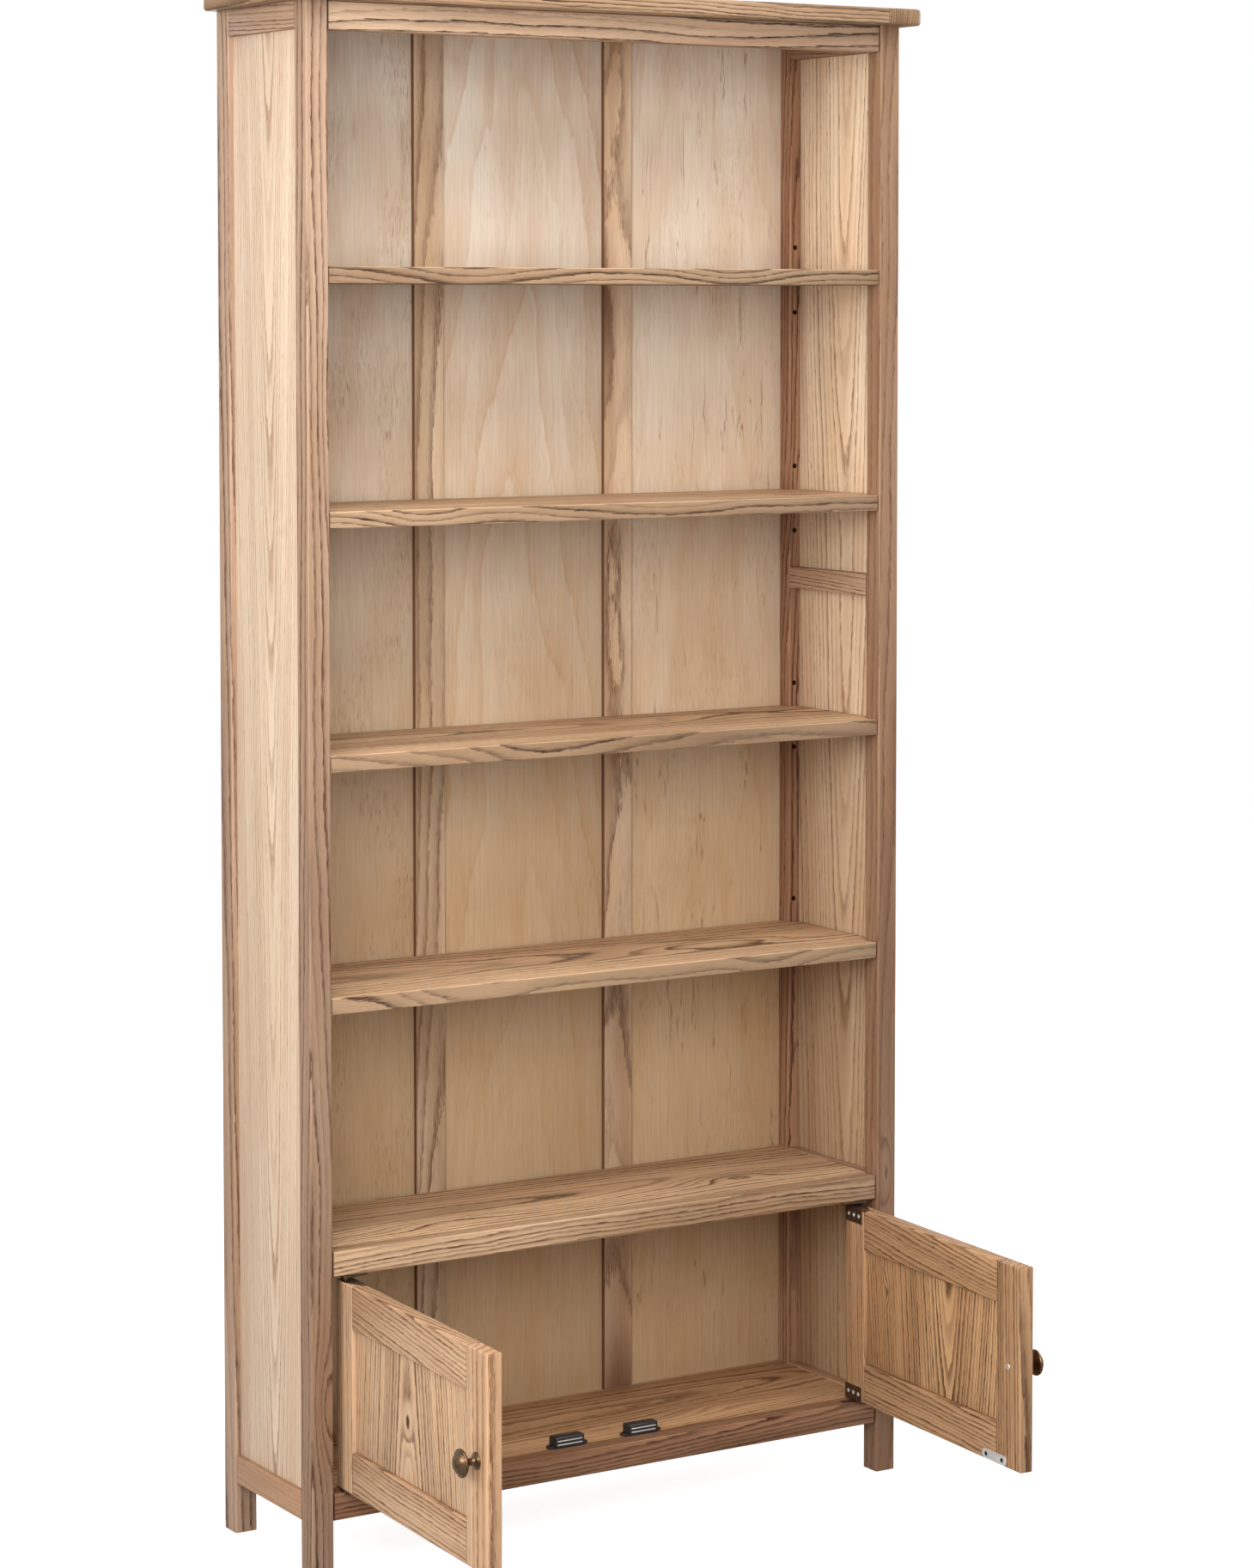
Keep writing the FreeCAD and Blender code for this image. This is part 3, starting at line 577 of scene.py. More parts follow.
    def marks(self, g: Graph, cut: Cut, place: Sockets, years: Socket, fine: Socket) -> Socket:
        """Darkness of ring lines, pores and the hearts of knots.

        Args:
            g: The node graph.
            cut: How the board was sawn.
            place: Places across, through and along the grain.
            years: Rings counted from the log's middle.
            fine: The fine fibres.

        Returns:
            The darkness.
        """
        wood = self.timber
        strength = g.span(g.chance(g.math("FLOOR", years)), 0.0, 1.0, 0.38, 1.0)
        profile = ((0.0, 0.30), (0.05, 1.0), (wood.line, 0.80), (wood.line * 1.9, 0.26), (0.72, 0.05),
                   (1.0, 0.0))
        line = g.times(g.ramp(g.math("FRACT", years), profile), strength)
        line = g.times(line, g.span(fine, 0.28, 0.70, 0.60, 1.15))
        dash = self.figure(g, place, self.PORE, cut.seed * 5.3, 1.0)
        pore = g.times(g.span(dash, 0.53, 0.68), g.scaled(line, 0.9, 0.22))
        mark = g.plus(g.times(line, wood.contrast), g.times(pore, wood.pores))
        for knot in cut.knots:
            if knot.heart:
                core = g.math("POWER", self.swell(g, knot, place), 6.0)
                mark = g.plus(mark, g.times(core, knot.heart))
        return g.math("MINIMUM", mark, 1.0)

    def plain(self, g: Graph, cut: Cut, place: Sockets, years: Socket, tone: Socket) -> Socket:
        """Colour of the wood between its marks, before it is shaded.

        Args:
            g: The node graph.
            cut: How the board was sawn.
            place: Places across, through and along the grain.
            years: Rings counted from the log's middle.
            tone: The broad change of tone.

        Returns:
            The colour.
        """
        wood = self.timber
        colour = g.blend(g.span(tone, 0.34, 0.66), linear(wood.light), linear(wood.warm))
        patch = g.noise(g.join(g.times(years, 0.16), g.times(place[2], 1.3), cut.seed), 1.0, 1.5)
        return g.blend(g.times(g.span(patch, 0.50, 0.68), wood.stain), colour, linear(wood.dark))

    def with_painted_top_light(self, g: Graph, cut: Cut, extent: Extent, through: Socket, shade: Socket) -> Socket:
        """Lighten the wide face of a board with painted top light, as if light fell on it from above.

        Args:
            g: The node graph.
            cut: How the board was sawn.
            extent: The board's middle and half size.
            through: Place through the board.
            shade: Shade so far.

        Returns:
            The shade.
        """
        if not cut.painted_top_light:
            return shade
        top = extent.half[cut.face.value]
        low, high = (top - soft for soft in self.PAINTED_TOP_LIGHT_SOFT)
        return g.times(shade, g.span(through, low, high, 1.0, 1.0 + cut.painted_top_light))

    def build(self, name: str, cut: Cut, extent: Extent) -> bpy.types.Material:
        """Make the material of one board.

        Args:
            name: Name of the material.
            cut: How the board was sawn.
            extent: The board's middle and half size.

        Returns:
            The material.
        """
        g = Graph(name)
        local = self.local(g, cut, extent)
        cross = ({0, 1, 2} - {cut.grain.value, cut.face.value}).pop()
        place = (local[cross], local[cut.face.value], local[cut.grain.value])
        years = g.math("DIVIDE", self.rings(g, cut, place), self.timber.ring)
        uneven = g.noise(g.join(g.times(years, 0.31), cut.seed, 0.0), 1.0, 1.0)
        years = g.scaled(uneven, 1.8, years)
        fine = self.figure(g, place, self.FIBRE, cut.seed * 3.1, 2.0, 0.6)
        tone = self.figure(g, place, self.TONE, cut.seed * 2.3, 2.5)
        mark = self.joints(g, cut, local, extent, self.marks(g, cut, place, years, fine))
        # Lighter along the nearest long edges: partly wear, partly a painted highlight on the arrises.
        shade = g.plus(g.span(fine, 0.25, 0.75, 0.90, 1.05), g.times(self.edge(g, local, extent), 0.10))
        shade = self.with_painted_top_light(g, cut, extent, place[1], shade)
        colour = g.shaded(self.plain(g, cut, place, years, tone), shade)
        # Painted shade: the colour darkens towards the board's low end.
        if cut.fall:
            reach = extent.half[cut.grain.value]
            low = g.span(place[2], -reach, reach, cut.fall, 0.0)
            colour = g.blend(low, colour, self.PAINTED_SHADE_TINT, "MULTIPLY")
        g.set("Base Color", g.blend(mark, colour, linear(self.timber.dark)))
        rough = self.timber.rough
        g.set("Roughness", g.scaled(mark, 0.18, g.span(tone, 0.2, 0.8, rough - 0.05, rough + 0.06)))
        g.shader.inputs["Specular IOR Level"].default_value = 0.30
        g.bump(g.less(g.times(fine, 0.3), g.times(mark, 0.7)), 0.4, 0.4 * MM)
        return g.material


@dataclass(frozen=True)
class PlyFinish:
    """Thin pale plywood of one back panel.

    Attributes:
        seed: Number that makes the panel differ from the others.
        arches: Strength of the arches.
        flecks: Strength of the short flecks.
        cracks: Strength of the wandering cracks.
        light: Screen colour of its upper part.
        low: Colour of its lower part: painted shade, darker and warmer.
        warm: Colour of its arches and clouds.
        fleck: Colour of its flecks and cracks.
        groove: Depth of its long edges in their grooves.
        painted_shade_fade: Heights from its middle between which the painted shade of the low colour gives
            way to the light one.
    """

    seed: float
    arches: float
    flecks: float
    cracks: float
    light: Screen = (234, 223, 206)
    low: Screen = (211, 181, 143)
    warm: Screen = (198, 152, 104)
    fleck: Screen = (142, 96, 58)
    groove: float = 5.0 * MM
    painted_shade_fade: tuple[float, float] = (-0.45, 0.95)

    def figure(self, g: Graph, x: Socket, z: Socket, scales: tuple[float, float], shift: float,
               detail: float, rough: float = 0.5) -> Socket:
        """Noise that is stretched up the panel, with scales across and up it per metre."""
        across, up = scales
        return g.noise(g.join(g.times(x, across), self.seed + shift, g.times(z, up)), 1.0, detail, rough)

    def arch(self, g: Graph, x: Socket, z: Socket) -> Socket:
        """Strength of the arched bands at a place.

        Args:
            g: The node graph.
            x: Place across the panel.
            z: Place up the panel.

        Returns:
            The strength, from 0 to 1.
        """
        drift = self.figure(g, x, z, (5.0, 2.0), 0.0, 2.0)
        off = g.scaled(g.centred(drift), 0.16, x)
        bow = g.math("SQRT", g.plus(g.times(off, off), 0.0004))
        ragged = self.figure(g, x, z, (140.0, 11.0), 0.0, 3.0, 0.6)
        bow = g.scaled(ragged, 0.016, bow)
        bands = g.math("DIVIDE", g.scaled(z, 0.15, bow), 0.038)
        profile = ((0.0, 0.30), (0.05, 1.0), (0.11, 0.60), (0.5, 0.25), (1.0, 0.0))
        sweep = g.ramp(g.math("FRACT", bands), profile)
        return g.times(sweep, g.span(g.chance(g.math("FLOOR", bands)), 0.1, 0.9, 0.45, 1.0))

    def marks(self, g: Graph, x: Socket, z: Socket) -> Socket:
        """Strength of flecks and cracks at a place.

        Args:
            g: The node graph.
            x: Place across the panel.
            z: Place up the panel.

        Returns:
            The strength, from 0 to 1.
        """
        patch = self.figure(g, x, z, (14.0, 6.0), 7.0, 3.0)
        dash = self.figure(g, x, z, (1100.0, 46.0), 0.0, 1.5)
        short = g.times(g.span(dash, 0.55, 0.68), g.span(patch, 0.44, 0.60, 0.06, 1.0))
        wander = g.noise(g.join(self.seed, g.times(x, 22.0), g.times(z, 34.0)), 1.0, 2.0)
        bent = g.scaled(g.centred(wander), 0.009, x)
        line = self.figure(g, bent, z, (70.0, 2.6), 5.0, 2.0)
        broken = self.figure(g, x, z, (60.0, 9.0), 9.0, 2.0)
        crack = g.times(g.span(g.math("ABSOLUTE", g.centred(line)), 0.0, 0.010, 1.0, 0.0),
                        g.span(broken, 0.50, 0.60))
        return g.math("ADD", g.times(short, self.flecks), g.times(crack, self.cracks), clamp=True)

    def build(self, name: str, extent: Extent) -> bpy.types.Material:
        """Make the material of the panel.

        Args:
            name: Name of the material.
            extent: The panel's middle and half size.

        Returns:
            The material.
        """
        g = Graph(name)
        x, _, z = g.parts(g.offset(g.coordinates(), extent.middle))
        cloud = self.figure(g, x, z, (11.0, 3.4), 3.0, 4.0, 0.55)
        warm = g.scaled(self.arch(g, x, z), self.arches, g.span(cloud, 0.38, 0.66, 0.0, 0.34))
        # Painted shade: darker and warmer towards the panel's bottom.
        plain = g.blend(g.span(z, *self.painted_shade_fade), linear(self.low), linear(self.light))
        plain = g.blend(g.math("MINIMUM", warm, 1.0), plain, linear(self.warm))
        fibre = self.figure(g, x, z, (330.0, 9.0), 0.0, 4.0, 0.7)
        plain = g.shaded(plain, g.span(fibre, 0.28, 0.72, 0.90, 1.05))
        gap = g.less(extent.half[0] - self.groove, g.math("ABSOLUTE", x))
        seam = g.span(gap, 0.3 * MM, 1.2 * MM, 0.6, 0.0)
        mark = g.math("MAXIMUM", g.times(self.marks(g, x, z), 0.72), seam)
        g.set("Base Color", g.blend(mark, plain, linear(self.fleck)))
        g.set("Roughness", g.span(cloud, 0.3, 0.7, 0.51, 0.63))
        g.shader.inputs["Specular IOR Level"].default_value = 0.3
        g.bump(g.less(fibre, g.times(mark, 0.3)), 0.15, 0.2 * MM)
        return g.material


@dataclass(frozen=True)
class MetalFinish:
    """Metal with a worn, slightly uneven skin.

    Attributes:
        face: Screen colour of the whole skin.
        worn: Colour of its worn patches.
        metallic: How metallic it is.
        rough: Surface roughness.
        scale: Scale of the patches, per metre.
        wear: Strength of the worn patches.
    """

    face: Screen
    worn: Screen
    metallic: float = 1.0
    rough: float = 0.34
    scale: float = 160.0
    wear: float = 0.35

    def build(self, name: str) -> bpy.types.Material:
        """Make the material.

        Args:
            name: Its name.

        Returns:
            The material.
        """
        g = Graph(name)
        place = g.coordinates()
        patch = g.noise(place, self.scale, 4.0, 0.6)
        speck = g.noise(place, self.scale * 9.0, 2.0, 0.6)
        worn = g.times(g.span(patch, 0.48, 0.70), self.wear)
        g.set("Base Color", g.blend(worn, linear(self.face), linear(self.worn)))
        g.shader.inputs["Metallic"].default_value = self.metallic
        rough = g.span(patch, 0.3, 0.7, self.rough - 0.06, self.rough + 0.10)
        g.set("Roughness", g.plus(rough, g.times(speck, 0.08)))
        g.bump(speck, 0.22, 0.1 * MM)
        return g.material


@dataclass(frozen=True)
class PlasticFinish:
    """Moulded plastic with a fine spark-eroded skin.

    Attributes:
        face: Screen colour of the skin.
        dust: Linear colour of the dust on it.
        rough: Surface roughness.
    """

    face: Screen
    dust: Colour = (0.12, 0.11, 0.10)
    rough: float = 0.42

    def build(self, name: str) -> bpy.types.Material:
        """Make the material.

        Args:
            name: Its name.

        Returns:
            The material.
        """
        g = Graph(name)
        place = g.coordinates()
        skin = g.noise(place, 2600.0, 2.0, 0.5)
        dusty = g.span(g.noise(place, 90.0, 3.0, 0.6), 0.45, 0.8, 0.0, 0.12)
        g.set("Base Color", g.blend(dusty, linear(self.face), self.dust))
        g.set("Roughness", g.scaled(skin, 0.12, self.rough))
        g.bump(skin, 0.3, 0.1 * MM)
        return g.material


# ------------------------------------------------------------------- mesh tools
class Bench:
    """Mesh work shared by the sub-assemblies."""

    WELD = 0.01 * MM
    BORE_AREA = 45.0 * MM * MM
    BORE_INSET = 0.7 * MM

    @staticmethod
    def clear() -> None:
        """Leave object mode with nothing selected."""
        if bpy.context.object and bpy.context.object.mode != "OBJECT":
            bpy.ops.object.mode_set(mode="OBJECT")
        bpy.ops.object.select_all(action="DESELECT")

    @staticmethod
    def active(piece: Piece) -> None:
        """Select one piece alone and make it the active one.

        Args:
            piece: The piece.
        """
        Bench.clear()
        piece.hide_viewport = False
        piece.select_set(True)
        bpy.context.view_layer.objects.active = piece

    @staticmethod
    def softened(node: str, width: float, segments: int = 2, angle: float = 28.0) -> Piece:
        """A merged copy of a CAD node with its edges eased.

        Args:
            node: The CAD node.
            width: Width of the easing in metres.
            segments: Steps across it.
            angle: Least angle, in degrees, of an edge that is eased.

        Returns:
            The new piece.
        """
        source = frame["nodes"][node]
        piece = bpy.data.objects.new(f"{node}_dressed", source.data.copy())
        bpy.context.scene.collection.objects.link(piece)
        piece.data.materials.clear()
        Bench.active(piece)
        bpy.ops.object.mode_set(mode="EDIT")
        bpy.ops.mesh.select_all(action="SELECT")
        bpy.ops.mesh.remove_doubles(threshold=Bench.WELD)
        bpy.ops.mesh.customdata_custom_splitnormals_clear()
        bpy.ops.mesh.dissolve_limited(angle_limit=math.radians(0.6))
        bpy.ops.object.mode_set(mode="OBJECT")
        ease = piece.modifiers.new("ease", "BEVEL")
        ease.width = width
        ease.segments = segments
        ease.limit_method = "ANGLE"
        ease.angle_limit = math.radians(angle)
        ease.use_clamp_overlap = True
        bpy.ops.object.modifier_apply(modifier=ease.name)
        bpy.ops.object.shade_smooth_by_angle(angle=math.radians(32))
        return piece

    @staticmethod
    def paint_shade_in_bores(piece: Piece, material: bpy.types.Material) -> None:
        """Give the small faces inside a board's holes a dark material of their own, painted shade in the
        holes.

        Args:
            piece: The board.
            material: Material of the bores.
        """
        low, high = Vector(piece.bound_box[0]), Vector(piece.bound_box[6])
        inset = Bench.BORE_INSET
        piece.data.materials.append(material)
        for face in piece.data.polygons:
            inside = all(low[k] + inset < face.center[k] < high[k] - inset for k in range(3))
            if inside and face.area < Bench.BORE_AREA:
                face.material_index = 1

    @staticmethod
    def lathe(name: str, outline: tuple[tuple[float, float], ...], steps: int = 48) -> Piece:
        """Spin an outline about the Z axis.

        Args:
            name: Name of the piece.
            outline: Radius and height pairs in metres, from pole to pole.
            steps: Steps round.

        Returns:
            The closed, smooth piece.
        """
        mesh = bpy.data.meshes.new(name)
        edges = [(i, i + 1) for i in range(len(outline) - 1)]
        mesh.from_pydata([(r, 0.0, h) for r, h in outline], edges, [])
        piece = bpy.data.objects.new(name, mesh)
        bpy.context.scene.collection.objects.link(piece)
        Bench.active(piece)
        bpy.ops.object.mode_set(mode="EDIT")
        bpy.ops.mesh.select_all(action="SELECT")
        bpy.ops.mesh.spin(steps=steps, angle=math.tau, center=(0.0, 0.0, 0.0), axis=(0.0, 0.0, 1.0))
        bpy.ops.mesh.select_all(action="SELECT")
        bpy.ops.mesh.remove_doubles(threshold=Bench.WELD)
        bpy.ops.mesh.normals_make_consistent(inside=False)
        bpy.ops.object.mode_set(mode="OBJECT")
        bpy.ops.object.shade_smooth_by_angle(angle=math.radians(38))
        return piece

    @staticmethod
    def cut(piece: Piece, tool: Piece) -> None:
        """Take a tool's shape out of a piece and remove the tool.

        Args:
            piece: The piece.
            tool: The tool.
        """
        Bench.active(piece)
        bite = piece.modifiers.new("bite", "BOOLEAN")
        bite.operation = "DIFFERENCE"
        bite.solver = "EXACT"
        bite.object = tool
        bpy.ops.object.modifier_apply(modifier=bite.name)
        bpy.data.objects.remove(tool, do_unlink=True)

    @staticmethod
    def place(piece: Piece, matrix: Matrix) -> None:
        """Move a piece's mesh, so that its object stays at the origin."""
        piece.data.transform(matrix)
        piece.data.update()

    @staticmethod
    def merge(pieces: list[Piece], name: str) -> Piece:
        """Join pieces into one object.

        Args:
            pieces: The pieces.
            name: Name of the result.

        Returns:
            The joined piece.
        """
        Bench.clear()
        for piece in pieces:
            piece.select_set(True)
        bpy.context.view_layer.objects.active = pieces[0]
        bpy.ops.object.join()
        pieces[0].name = name
        return pieces[0]


def slot_of(node: str) -> str:
    """The record's material slot of a CAD node."""
    return next(s["material_slot"] for s in frame["record"]["subparts"] if s["node"] == node)


def body_of(node: str) -> str:
    """The body that a CAD node belongs to."""
    bodies = frame["record"]["behaviour"]["bodies"]
    return next(name for name, nodes in bodies.items() if node in nodes)


def stand_for(piece: Piece, node: str) -> Piece:
    """Let a dressed piece stand for its CAD node and move with its body.

    Args:
        piece: The piece.
        node: The CAD node.

    Returns:
        The piece.
    """
    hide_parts(node)
    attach(piece, body_of(node))
    slot_of(node)
    LOG.info("%s: %d faces", piece.name, len(piece.data.polygons))
    return piece


def fit(piece: Piece, node: str, material: bpy.types.Material) -> Piece:
    """Let a finished piece stand for its CAD node.

    Args:
        piece: The piece.
        node: The CAD node.
        material: Its finish.

    Returns:
        The piece.
    """
    piece.data.materials.clear()
    piece.data.materials.append(material)
    return stand_for(piece, node)


# --------------------------------------------------------- timbers and metals
class Woods:
    """The timbers of the bookcase."""

    # Near-black wood for the insides of the pin holes: painted shade.
    PAINTED_BORE_SHADE = Timber((46, 30, 20), (36, 24, 16), (16, 10, 8))
    POST = Timber((187, 155, 130), (171, 138, 111), (84, 48, 31), ring=0.0086, line=0.18, contrast=1.0)
    # A darker copy of POST for the front right post: painted shade.
    POST_PAINTED_SHADE = Timber((161, 126, 98), (146, 110, 83), (80, 46, 30), ring=0.0100, line=0.16,
                        contrast=0.6)
    TOP = Timber((196, 161, 126), (174, 138, 106), (58, 34, 18), ring=0.0056, line=0.24, contrast=1.0)
    TOP_END = Timber((164, 130, 98), (146, 113, 84), (70, 46, 30), ring=0.0036, line=0.30, contrast=0.8)
    SIDE = Timber((232, 208, 181), (222, 195, 167), (150, 110, 78), ring=0.0034, line=0.26,
                  contrast=0.75, pores=0.40, stain=0.10)
    SIDE_IN = Timber((246, 224, 194), (232, 202, 168), (118, 78, 48), ring=0.0080, line=0.18,
                     contrast=0.80, pores=0.40, stain=0.30)
    SIDE_RAIL = Timber((184, 150, 123), (168, 132, 105), (78, 48, 32), ring=0.0050, contrast=0.9)
    SIDE_FOOT = Timber((186, 146, 114), (176, 136, 104), (110, 74, 52), ring=0.0060, contrast=0.30,
                       pores=0.30)
    EDGE = Timber((206, 170, 134), (176, 140, 106), (76, 48, 28), ring=0.0052, line=0.26, contrast=0.85)
    RAIL = Timber((204, 171, 141), (182, 147, 118), (54, 32, 18), ring=0.0108, line=0.14, contrast=1.0)
    LOW_RAIL = Timber((160, 117, 86), (140, 98, 69), (58, 31, 18), ring=0.0046, line=0.26,
                      contrast=0.95)
    SHELF = Timber((179, 147, 115), (161, 129, 99), (60, 36, 20), ring=0.0070, line=0.19, contrast=1.0)
    LOW_SHELF = Timber((216, 170, 126), (198, 151, 108), (74, 42, 22), ring=0.0058, line=0.22,
                       contrast=0.95)
    BACK_POST = Timber((172, 132, 102), (150, 109, 81), (66, 34, 20), ring=0.0060, contrast=1.0)
    MULLION = Timber((233, 207, 177), (215, 184, 149), (110, 69, 41), ring=0.0090, contrast=0.75)
    STAINED = Timber((234, 206, 174), (208, 172, 138), (104, 66, 42), ring=0.0150, contrast=0.7,
                     stain=0.95)
    HONEY = Timber((214, 176, 140), (196, 156, 120), (88, 54, 32), ring=0.0056, line=0.24, contrast=0.9)
    HONEY_STILE = Timber((228, 188, 149), (212, 168, 128), (104, 58, 34), ring=0.0110, line=0.16,
                         contrast=0.9)
    HONEY_PANEL = Timber((226, 190, 153), (208, 168, 129), (84, 48, 24), ring=0.0064, line=0.24,
                         contrast=1.0)
    TAN = Timber((194, 151, 111), (176, 134, 96), (76, 46, 26), ring=0.0054, line=0.26, contrast=0.9,
                 stain=0.12)
    TAN_PANEL = Timber((207, 163, 118), (187, 142, 100), (66, 38, 18), ring=0.0058, line=0.28,
                       contrast=1.0)


class Metals:
    """The metals and the plastic of the fittings."""

    IRON = MetalFinish((84, 66, 50), (136, 108, 80), metallic=0.8, rough=0.38)
    BRONZE = MetalFinish((112, 88, 66), (54, 41, 31), rough=0.24, scale=220.0, wear=0.75)
    STEEL = MetalFinish((232, 226, 216), (168, 160, 148), metallic=0.55, rough=0.28)
    DULL = MetalFinish((120, 112, 104), (70, 62, 56), rough=0.4)
    ZINC = MetalFinish((226, 225, 222), (184, 182, 178), metallic=0.5, rough=0.30)
    BLACK = MetalFinish((26, 23, 22), (60, 54, 48), metallic=0.6, rough=0.45)
    PLASTIC = PlasticFinish((34, 32, 32))


@dataclass
class Board:
    """One wooden board.

    Attributes:
        node: Its CAD node.
        timber: Its kind of wood.
        cut: How it was sawn.
        ease: Width of its eased edges.
    """

    node: str
    timber: Timber
    cut: Cut
    ease: float = 0.8 * MM

    def make(self) -> Piece:
        """Build the eased board and dress it.

        Returns:
            The dressed board.
        """
        piece = Bench.softened(self.node, self.ease)
        extent = Extent.of(self.node, self.cut.turn)
        finish = WoodFinish(self.timber).build(f"wood_{self.node}", self.cut, extent)
        return fit(piece, self.node, finish)


# --------------------------------------------------------------- sub-assemblies
@dataclass
class TopBoards:
    """The centre board and its two end boards."""

    ease: float = 1.4 * MM

    def make(self) -> None:
        """Build the three boards."""
        centre = Cut(Grain.X, Grain.Z, (-0.12, 0.026), 0.020, 1.3, wave=0.012)
        Board("top_board", Woods.TOP, centre, self.ease).make()
        for side, seed in (("left", 4.1), ("right", 6.7)):
            cut = Cut(Grain.Y, Grain.Z, (0.25, 0.035), 0.02, seed, wave=0.005)
            Board(f"top_{side}_end_board", Woods.TOP_END, cut, self.ease).make()


@dataclass
class CaseFrame:
    """The posts and every rail of the case."""

    ease: float = 0.5 * MM

    def posts(self) -> None:
        """Build the four posts."""
        upright = partial(Cut, Grain.Z, Grain.Y)
        front_left = upright((-0.030, 0.030), 0.016, 2.2, wave=0.009, fall=0.28, knots=(
            Knot(0.45, 0.012, 0.010, 0.012, 0.18), Knot(-0.05, -0.006, 0.003, 0.014, 0.16),
            Knot(-0.74, 0.006, 0.020, 0.012, 0.055)))
        front_right = upright((0.03, 0.05), 0.020, 5.4, wave=0.012, knots=(
            Knot(-0.55, 0.002, 0.024, 0.010, 0.05),))
        back_left = Cut(Grain.Z, Grain.X, (0.02, 0.05), 0.02, 8.3, wave=0.006)
        back_right = upright((0.004, 0.034), 0.03, 9.6, wave=0.014)
        extent = Extent.of("front_left_post")
        bore_shade = WoodFinish(Woods.PAINTED_BORE_SHADE).build("wood_bores", upright(), extent)
        for node, timber, cut in (("front_left_post", Woods.POST, front_left),
                                  ("front_right_post", Woods.POST_PAINTED_SHADE, front_right),
                                  ("back_left_post", Woods.POST, back_left),
                                  ("back_right_post", Woods.BACK_POST, back_right)):
            Bench.paint_shade_in_bores(Board(node, timber, cut, self.ease).make(), bore_shade)

    def rails(self) -> None:
        """Build the rails across the case, then those of its sides."""
        ends = (Seam(Grain.X, 15.5 * MM, width=1.3 * MM, depth=0.9),)
        # Dark lines at the rail's shoulders, and along its upper edge a painted shadow under the top board.
        ends_and_painted_shadow = (*ends, Seam(Grain.Z, 0.0, 1, 1.9 * MM, 0.8))
        across = partial(Cut, Grain.X, Grain.Y)
        back = partial(across, (0.0, 0.04), 0.02)
        for node, timber, cut in (
                ("front_top_rail", Woods.RAIL,
                 across((0.012, 0.014), 0.022, 3.2, wave=0.014, seams=ends_and_painted_shadow)),
                ("fixed_shelf_front_rail", Woods.EDGE,
                 across((0.026, 0.026), 0.014, 7.7, wave=0.011, seams=ends)),
                ("bottom_front_rail", Woods.LOW_RAIL,
                 across((0.020, 0.030), 0.012, 11.9, wave=0.008, seams=ends)),
                ("back_top_rail", Woods.RAIL, back(12.4)),
                ("back_bottom_rail", Woods.RAIL, back(13.5))):
            Board(node, timber, cut, self.ease).make()
        deep = partial(Cut, Grain.Y, Grain.X, (0.06, 0.020), 0.03, wave=0.006,
                       seams=(Seam(Grain.Y, 10.0 * MM),))
        for index, side in enumerate(("left", "right")):
            for step, part in enumerate(("top", "middle", "shelf", "bottom")):
                timber = Woods.SIDE_FOOT if part == "bottom" else Woods.SIDE_RAIL
                cut = deep(15.0 + 3.3 * index + 1.9 * step)
                Board(f"{side}_side_{part}_rail", timber, cut, self.ease).make()

    def make(self) -> None:
        """Build the posts, then the rails."""
        self.posts()
        self.rails()


@dataclass
class Panels:
    """Side panels, back panels and the mullions between them."""

    ease: float = 0.4 * MM

    def make(self) -> None:
        """Build the panels."""
        rim = (Seam(Grain.Y, 6.0 * MM), Seam(Grain.Z, 6.0 * MM))
        side = partial(Cut, Grain.Z, Grain.X, seams=rim)
        line = (Seam(Grain.X, 0.0, -1, 2.2 * MM, 0.95), Seam(Grain.X, 0.0, 1, 0.9 * MM, 0.5))
        mullion = partial(Cut, Grain.Z, Grain.Y, seams=line)
        for node, timber, cut in (
                ("left_side_panel", Woods.SIDE, side((-0.006, 0.030), -0.026, 21.0, wave=0.004)),
                ("right_side_panel", Woods.SIDE_IN,
                 side((-0.020, 0.026), -0.040, 27.5, wave=0.007, fall=0.85)),
                ("left_mullion", Woods.MULLION, mullion((0.03, 0.06), 0.02, 31.0, wave=0.009, fall=0.42)),
                ("right_mullion", Woods.STAINED,
                 mullion((0.0, 0.03), 0.060, 34.0, wave=0.030, fall=0.28))):
            Board(node, timber, cut, self.ease).make()
        for node, ply in (("left_back_panel", PlyFinish(1.0, 0.14, 1.0, 0.3)),
                          ("centre_back_panel", PlyFinish(5.0, 0.42, 0.35, 0.3)),
                          ("right_back_panel", PlyFinish(9.0, 0.18, 0.55, 1.0))):
            fit(Bench.softened(node, self.ease), node, ply.build(f"ply_{node}", Extent.of(node)))


